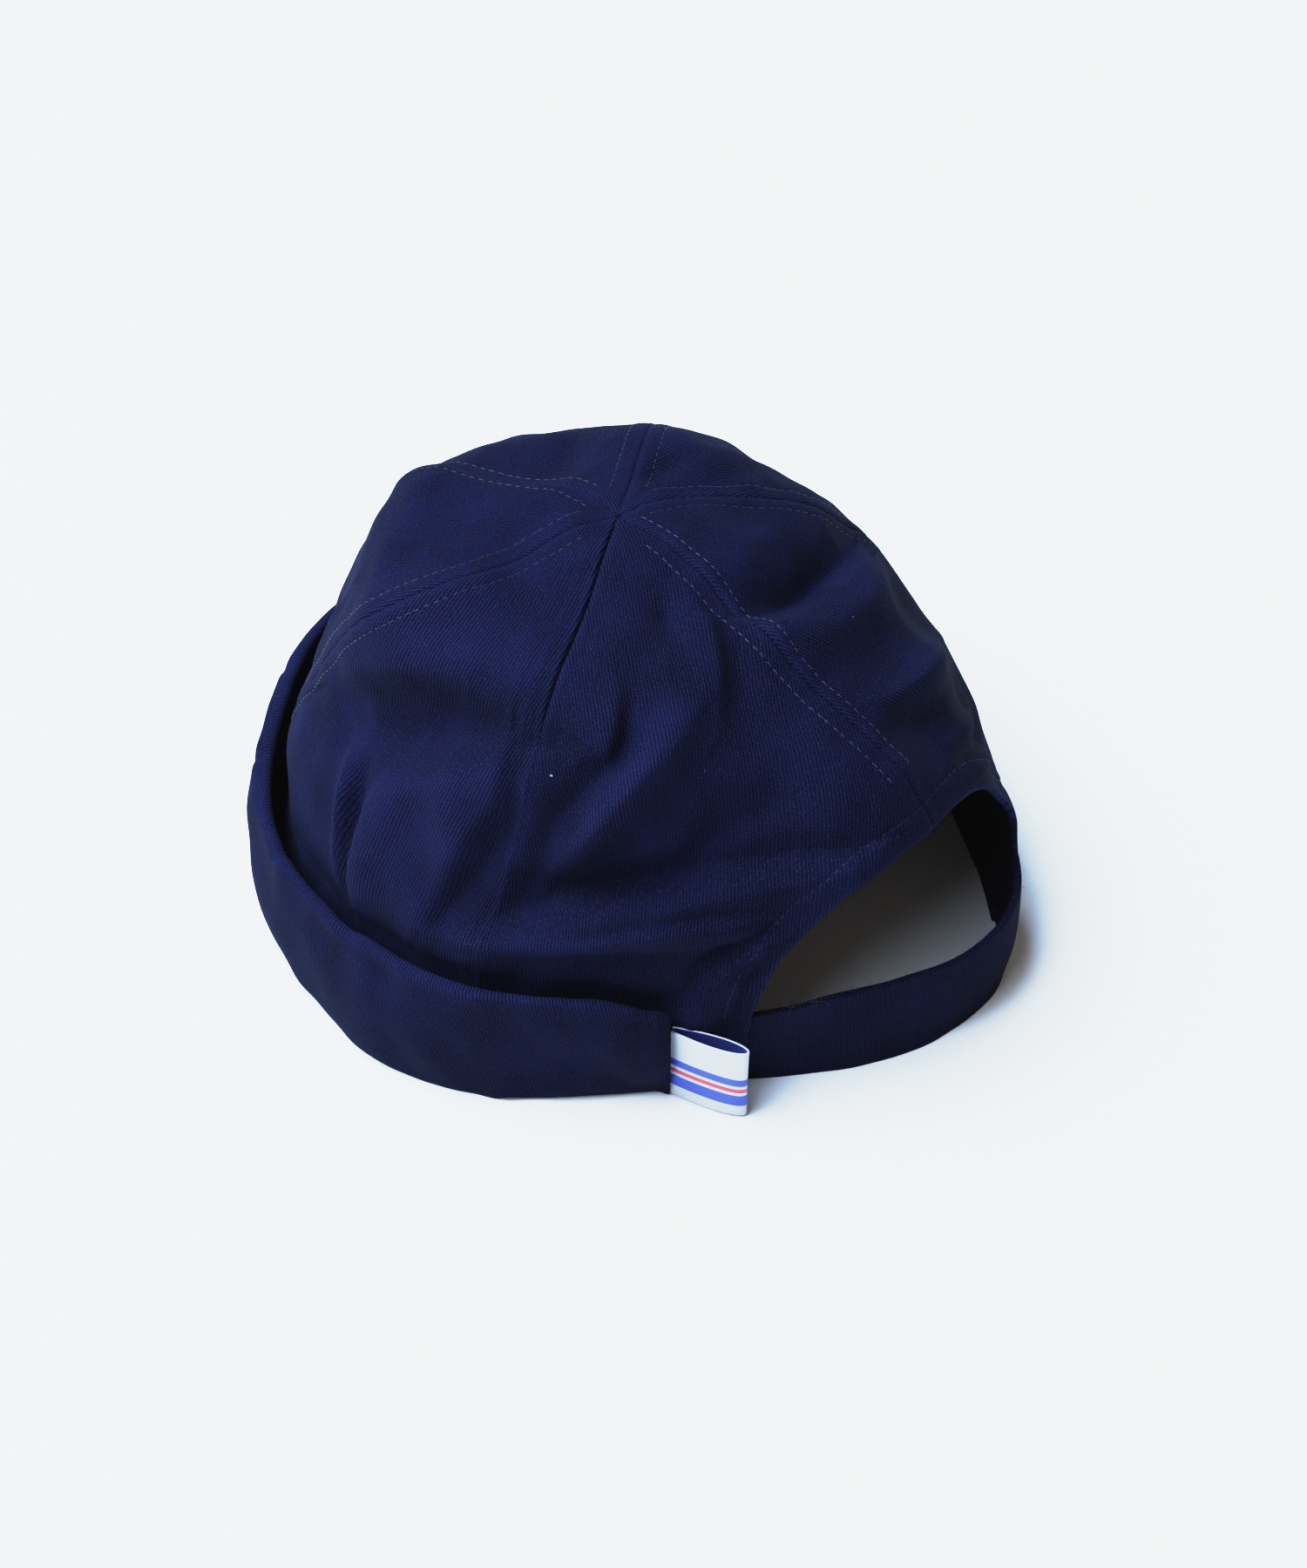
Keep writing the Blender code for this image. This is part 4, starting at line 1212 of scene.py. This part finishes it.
fibreShape = {
    "count": 150,
    "lengthMm": (0.8, 3.2),
    "radiusMm": 0.055,
    "tuft": (0.55, 0.17, 0.045),  # share of the fibres in it, its place along the strap, its spread
    "looseShare": 0.6,  # how long the fibres outside it are beside its own
}


def makeFibres(name, shape):
    topRing = len(strapRings[0]) // 2
    share = np.linspace(0, 1, 6)
    tuftShare, tuftPlace, tuftSpread = shape["tuft"]
    paths = []
    for _ in range(shape["count"]):
        inTuft = chance.uniform() < tuftShare
        spot = chance.normal(tuftPlace, tuftSpread) if inTuft else chance.uniform(0.02, 0.98)
        spot = min(max(spot, 0.01), 0.99) * (len(strapTurns) - 1)
        low = int(spot)
        before, after = strapRings[low : low + 2, topRing]
        root = before + (after - before) * (spot - low)
        size = chance.uniform(*shape["lengthMm"]) * mm * (1.0 if inTuft else shape["looseShare"])
        heading = unit(np.array([0, 0, 0.5]) + chance.normal(0, 0.6, 3))
        bend = 0.6 * chance.normal(0, 0.5, 3)
        paths.append(curve(root - 0.3 * mm * upwards, size, share, heading, bend))
    paths = np.array(paths)
    radii = shape["radiusMm"] * mm * (1 - 0.5 * share)
    return addRods(name, paths, np.tile([0.3, 0.2, 0.9], (len(paths), 6, 1)),
                   np.tile(radii, (len(paths), 1)), threadFinish, sides=5)


mount(makeFibres("frayed_fibres", fibreShape), "strap_twill")
print("strap", len(strap.data.polygons), "faces")


# The ribbon folded into a loop at the cuff's left end

loopShape = {
    "ribbon": 0.0010,  # the solid's wall, which the thinner ribbon runs down the middle of
    "thick": 0.00045,
    "length": 0.0200,
    "width": 0.0062,
    "height": 0.0262,
    "lean": 0.0020,
    "swing": 24.0,
    "floorGap": 0.0006,
    "selvedgeMm": (0.10, 0.6, 0.5),  # how much thicker, how far in from the edge, half width
    "waveMm": 0.18,
    "stations": 90,
    "rows": 40,
}


def makeLoop(name, shape):
    startTurn = np.array([cuffShape["leftEnd"]])
    gap = cuffShape["gap"]
    foot = wall(startTurn, np.zeros(1), np.zeros(1))[0]
    root = wall(startTurn, np.zeros(1), np.array([gap + cuffShape["thickness"] - shape["ribbon"]]))[0]
    out = unit(root - foot)
    along = np.array([-out[1], out[0], 0.0])
    swing = math.radians(shape["swing"])
    forward = along * math.cos(swing) + out * math.sin(swing)
    side = out * math.cos(swing) - along * math.sin(swing)
    opening = shape["ribbon"] + gap
    phase = np.linspace(0, 2 * np.pi, shape["stations"] + 1)
    length = shape["length"] * (1 - np.cos(phase)) / 2
    belly = (shape["width"] - shape["ribbon"] - opening) / 2 * np.sin(phase) * np.sin(phase / 2)
    apart = opening / 2 * np.cos(phase / 2) + belly
    start = root + along * (gap + shape["ribbon"] / 2)
    path = start + forward * length[:, None] + side * apart[:, None]
    tangent = unit(np.gradient(path, axis=0))
    normal = np.stack([tangent[:, 1], -tangent[:, 0], 0 * tangent[:, 0]], -1)
    normal *= -np.sign((normal * (path.mean(0) - path)).sum())
    rise = np.linspace(0, 1, shape["rows"] + 1)[:, None]
    tall = shape["height"]
    up = (shape["floorGap"] + tall * rise)[..., None] * upwards + out * (shape["lean"] * rise)[..., None]
    thicker, inFrom, spread = (size * mm for size in shape["selvedgeMm"])
    selvedge = thicker * (bump(rise * tall - inFrom, spread) + bump((1 - rise) * tall - inFrom, spread))
    wave = shape["waveMm"] * mm * np.sin(phase * 3 + 0.4) * np.sin(np.pi * rise) * np.sin(phase / 2) ** 2
    half = shape["thick"] / 2
    outer = path + up + normal * (half + selvedge + wave)[..., None]
    inner = path + up - normal * (half + selvedge - wave)[..., None]
    uv = np.stack([runOf(path) + 0 * rise, rise * tall + 0 * phase], -1)
    return addCloth(name, outer[::-1], inner[::-1], uv[::-1], np.zeros(outer.shape[:2]),
                    (ribbonFront, ribbonBack), 0.3)


loop = mount(makeLoop("ribbon_loop", loopShape), "ribbon", "loop_label")
print("ribbon loop", len(loop.data.polygons), "faces")


# Lint that clings to the cloth

lintSpecks = (
    # turn, level, length mm, radius mm, colour
    (61.0, 0.43, 0.7, 0.26, "#6b7595"),
    (30.0, 0.42, 1.2, 0.07, "#2c3350"),
    (-22.0, 0.34, 0.8, 0.08, "#3a3048"),
    (203.0, 0.40, 1.4, 0.07, "#2c3350"),
    (262.0, 0.33, 1.2, 0.07, "#2c3350"),
)


def makeLint(name, specks):
    share = np.linspace(-0.5, 0.5, 6)
    paths, ups, radii, tints = [], [], [], []
    for turn, level, lengthMm, radiusMm, tint in specks:
        plain = plainCrown(turn, level)
        up = outward(np.float64(turn), np.float64(level))
        spot = plain + up * (mainRise(plain) + fineRise(plain) + 0.7 * radiusMm * mm)
        heading = unit(np.cross(up, chance.normal(size=3)))
        bend = np.cross(up, heading) * chance.normal()
        paths.append(curve(spot, lengthMm * mm, share, heading, bend))
        ups.append(np.tile(up, (6, 1)))
        radii.append(radiusMm * mm * (1 - 1.6 * share**2))
        tints.append(linearColour(tint))
    return addRods(name, np.array(paths), np.array(ups), np.array(radii), lintFinish, tints)


mount(makeLint("lint_specks", lintSpecks), "twill")
print("lint specks", len(lintSpecks))


# Floor, light and camera

studio = {
    "floorSize": 7.0,
    "floorDrop": 0.0002,  # how far below the cap the floor is drawn, so that they never meet
    "sky": "#fff4e9",
    "skyStrength": 0.25,
    "lights": (
        # name, power, size across, distance, shares up, away from the camera and to its left, tint
        ("window_light", 324.0, 2.6, 2.6, 0.86, 0.05, 0.51, "#c4e0ff"),
        ("low_softbox", 30.0, 1.2, 2.6, 0.78, -0.50, 0.37, "#dcebff"),  # reaches the floor in the arch
    ),
    "contrast": 0.88,
    # scene light in, picture light out: a faint haze in the black, and a roll-off like film that
    # keeps the pale floor just under white
    "rollOff": ((0.0, 0.0034), (0.2, 0.21), (0.4, 0.46), (0.7, 0.77), (1.0, 0.85), (1.8, 0.9),
                (3.0, 0.92), (5.0, 0.925)),
}
view = {
    "turn": 48.0,  # from the centre back towards the wearer's left
    "elevation": 46.0,
    "distance": 0.850,
    "lens": 76.5,  # in mm, as is the sensor
    "sensor": 36.0,
    "aim": (0.011, 0.021, 0.047),  # in the crown's own frame, before the cap is centred
}

half = studio["floorSize"] / 2
corners = [(-half, -half, 0), (half, -half, 0), (half, half, 0), (-half, half, 0)]
floor = addMesh("floor", corners, [(0, 1, 2, 3)], materials=(floorPaint,))
floor.location.z = -studio["floorDrop"]

world = bpy.data.worlds.new("pale_studio")
world.use_nodes = True
sky = world.node_tree.nodes["Background"].inputs
sky["Color"].default_value = linearColour(studio["sky"])
sky["Strength"].default_value = studio["skyStrength"]
bpy.context.scene.world = world
grade = bpy.context.scene.view_settings
grade.view_transform = "Standard"
grade.use_curve_mapping = True
brightest = studio["rollOff"][-1][0]
grade.curve_mapping.white_level = (brightest, brightest, brightest)
knots = grade.curve_mapping.curves[3].points  # of the one for all three colours together
knots[0].location = (0.0, studio["rollOff"][0][1])
knots[-1].location = (1.0, studio["rollOff"][-1][1])
for light, shown in studio["rollOff"][1:-1]:
    knots.new(light / brightest, shown)
grade.curve_mapping.extend = "HORIZONTAL"
grade.curve_mapping.update()
grade.gamma = studio["contrast"]

angle = math.radians(view["turn"])
tilt = math.radians(view["elevation"])
towards = Vector((math.sin(angle), math.cos(angle), 0))  # from the cap to the camera, on the floor
leftward = Vector((math.cos(angle), -math.sin(angle), 0))
aim = Vector(view["aim"]) + capShift


def point(name, data, heading, distance):  # a lamp or the camera, set down so that it faces the cap
    obj = bpy.data.objects.new(name, data)
    obj.location = aim + distance * heading
    obj.rotation_euler = (aim - obj.location).to_track_quat("-Z", "Y").to_euler()
    bpy.context.scene.collection.objects.link(obj)
    return obj


camera = point("camera", bpy.data.cameras.new("camera"),
               towards * math.cos(tilt) + Vector((0, 0, math.sin(tilt))), view["distance"])
camera.data.lens = view["lens"]
camera.data.sensor_width = view["sensor"]
bpy.context.scene.camera = camera

for name, power, size, distance, up, away, left, tint in studio["lights"]:
    lamp = bpy.data.lights.new(name, "AREA")
    lamp.shape = "DISK"
    lamp.size = size
    lamp.energy = power
    lamp.color = linearColour(tint)[:3]
    point(name, lamp, (Vector((0, 0, up)) - towards * away + leftward * left).normalized(), distance)
print("floor, light and camera ready")
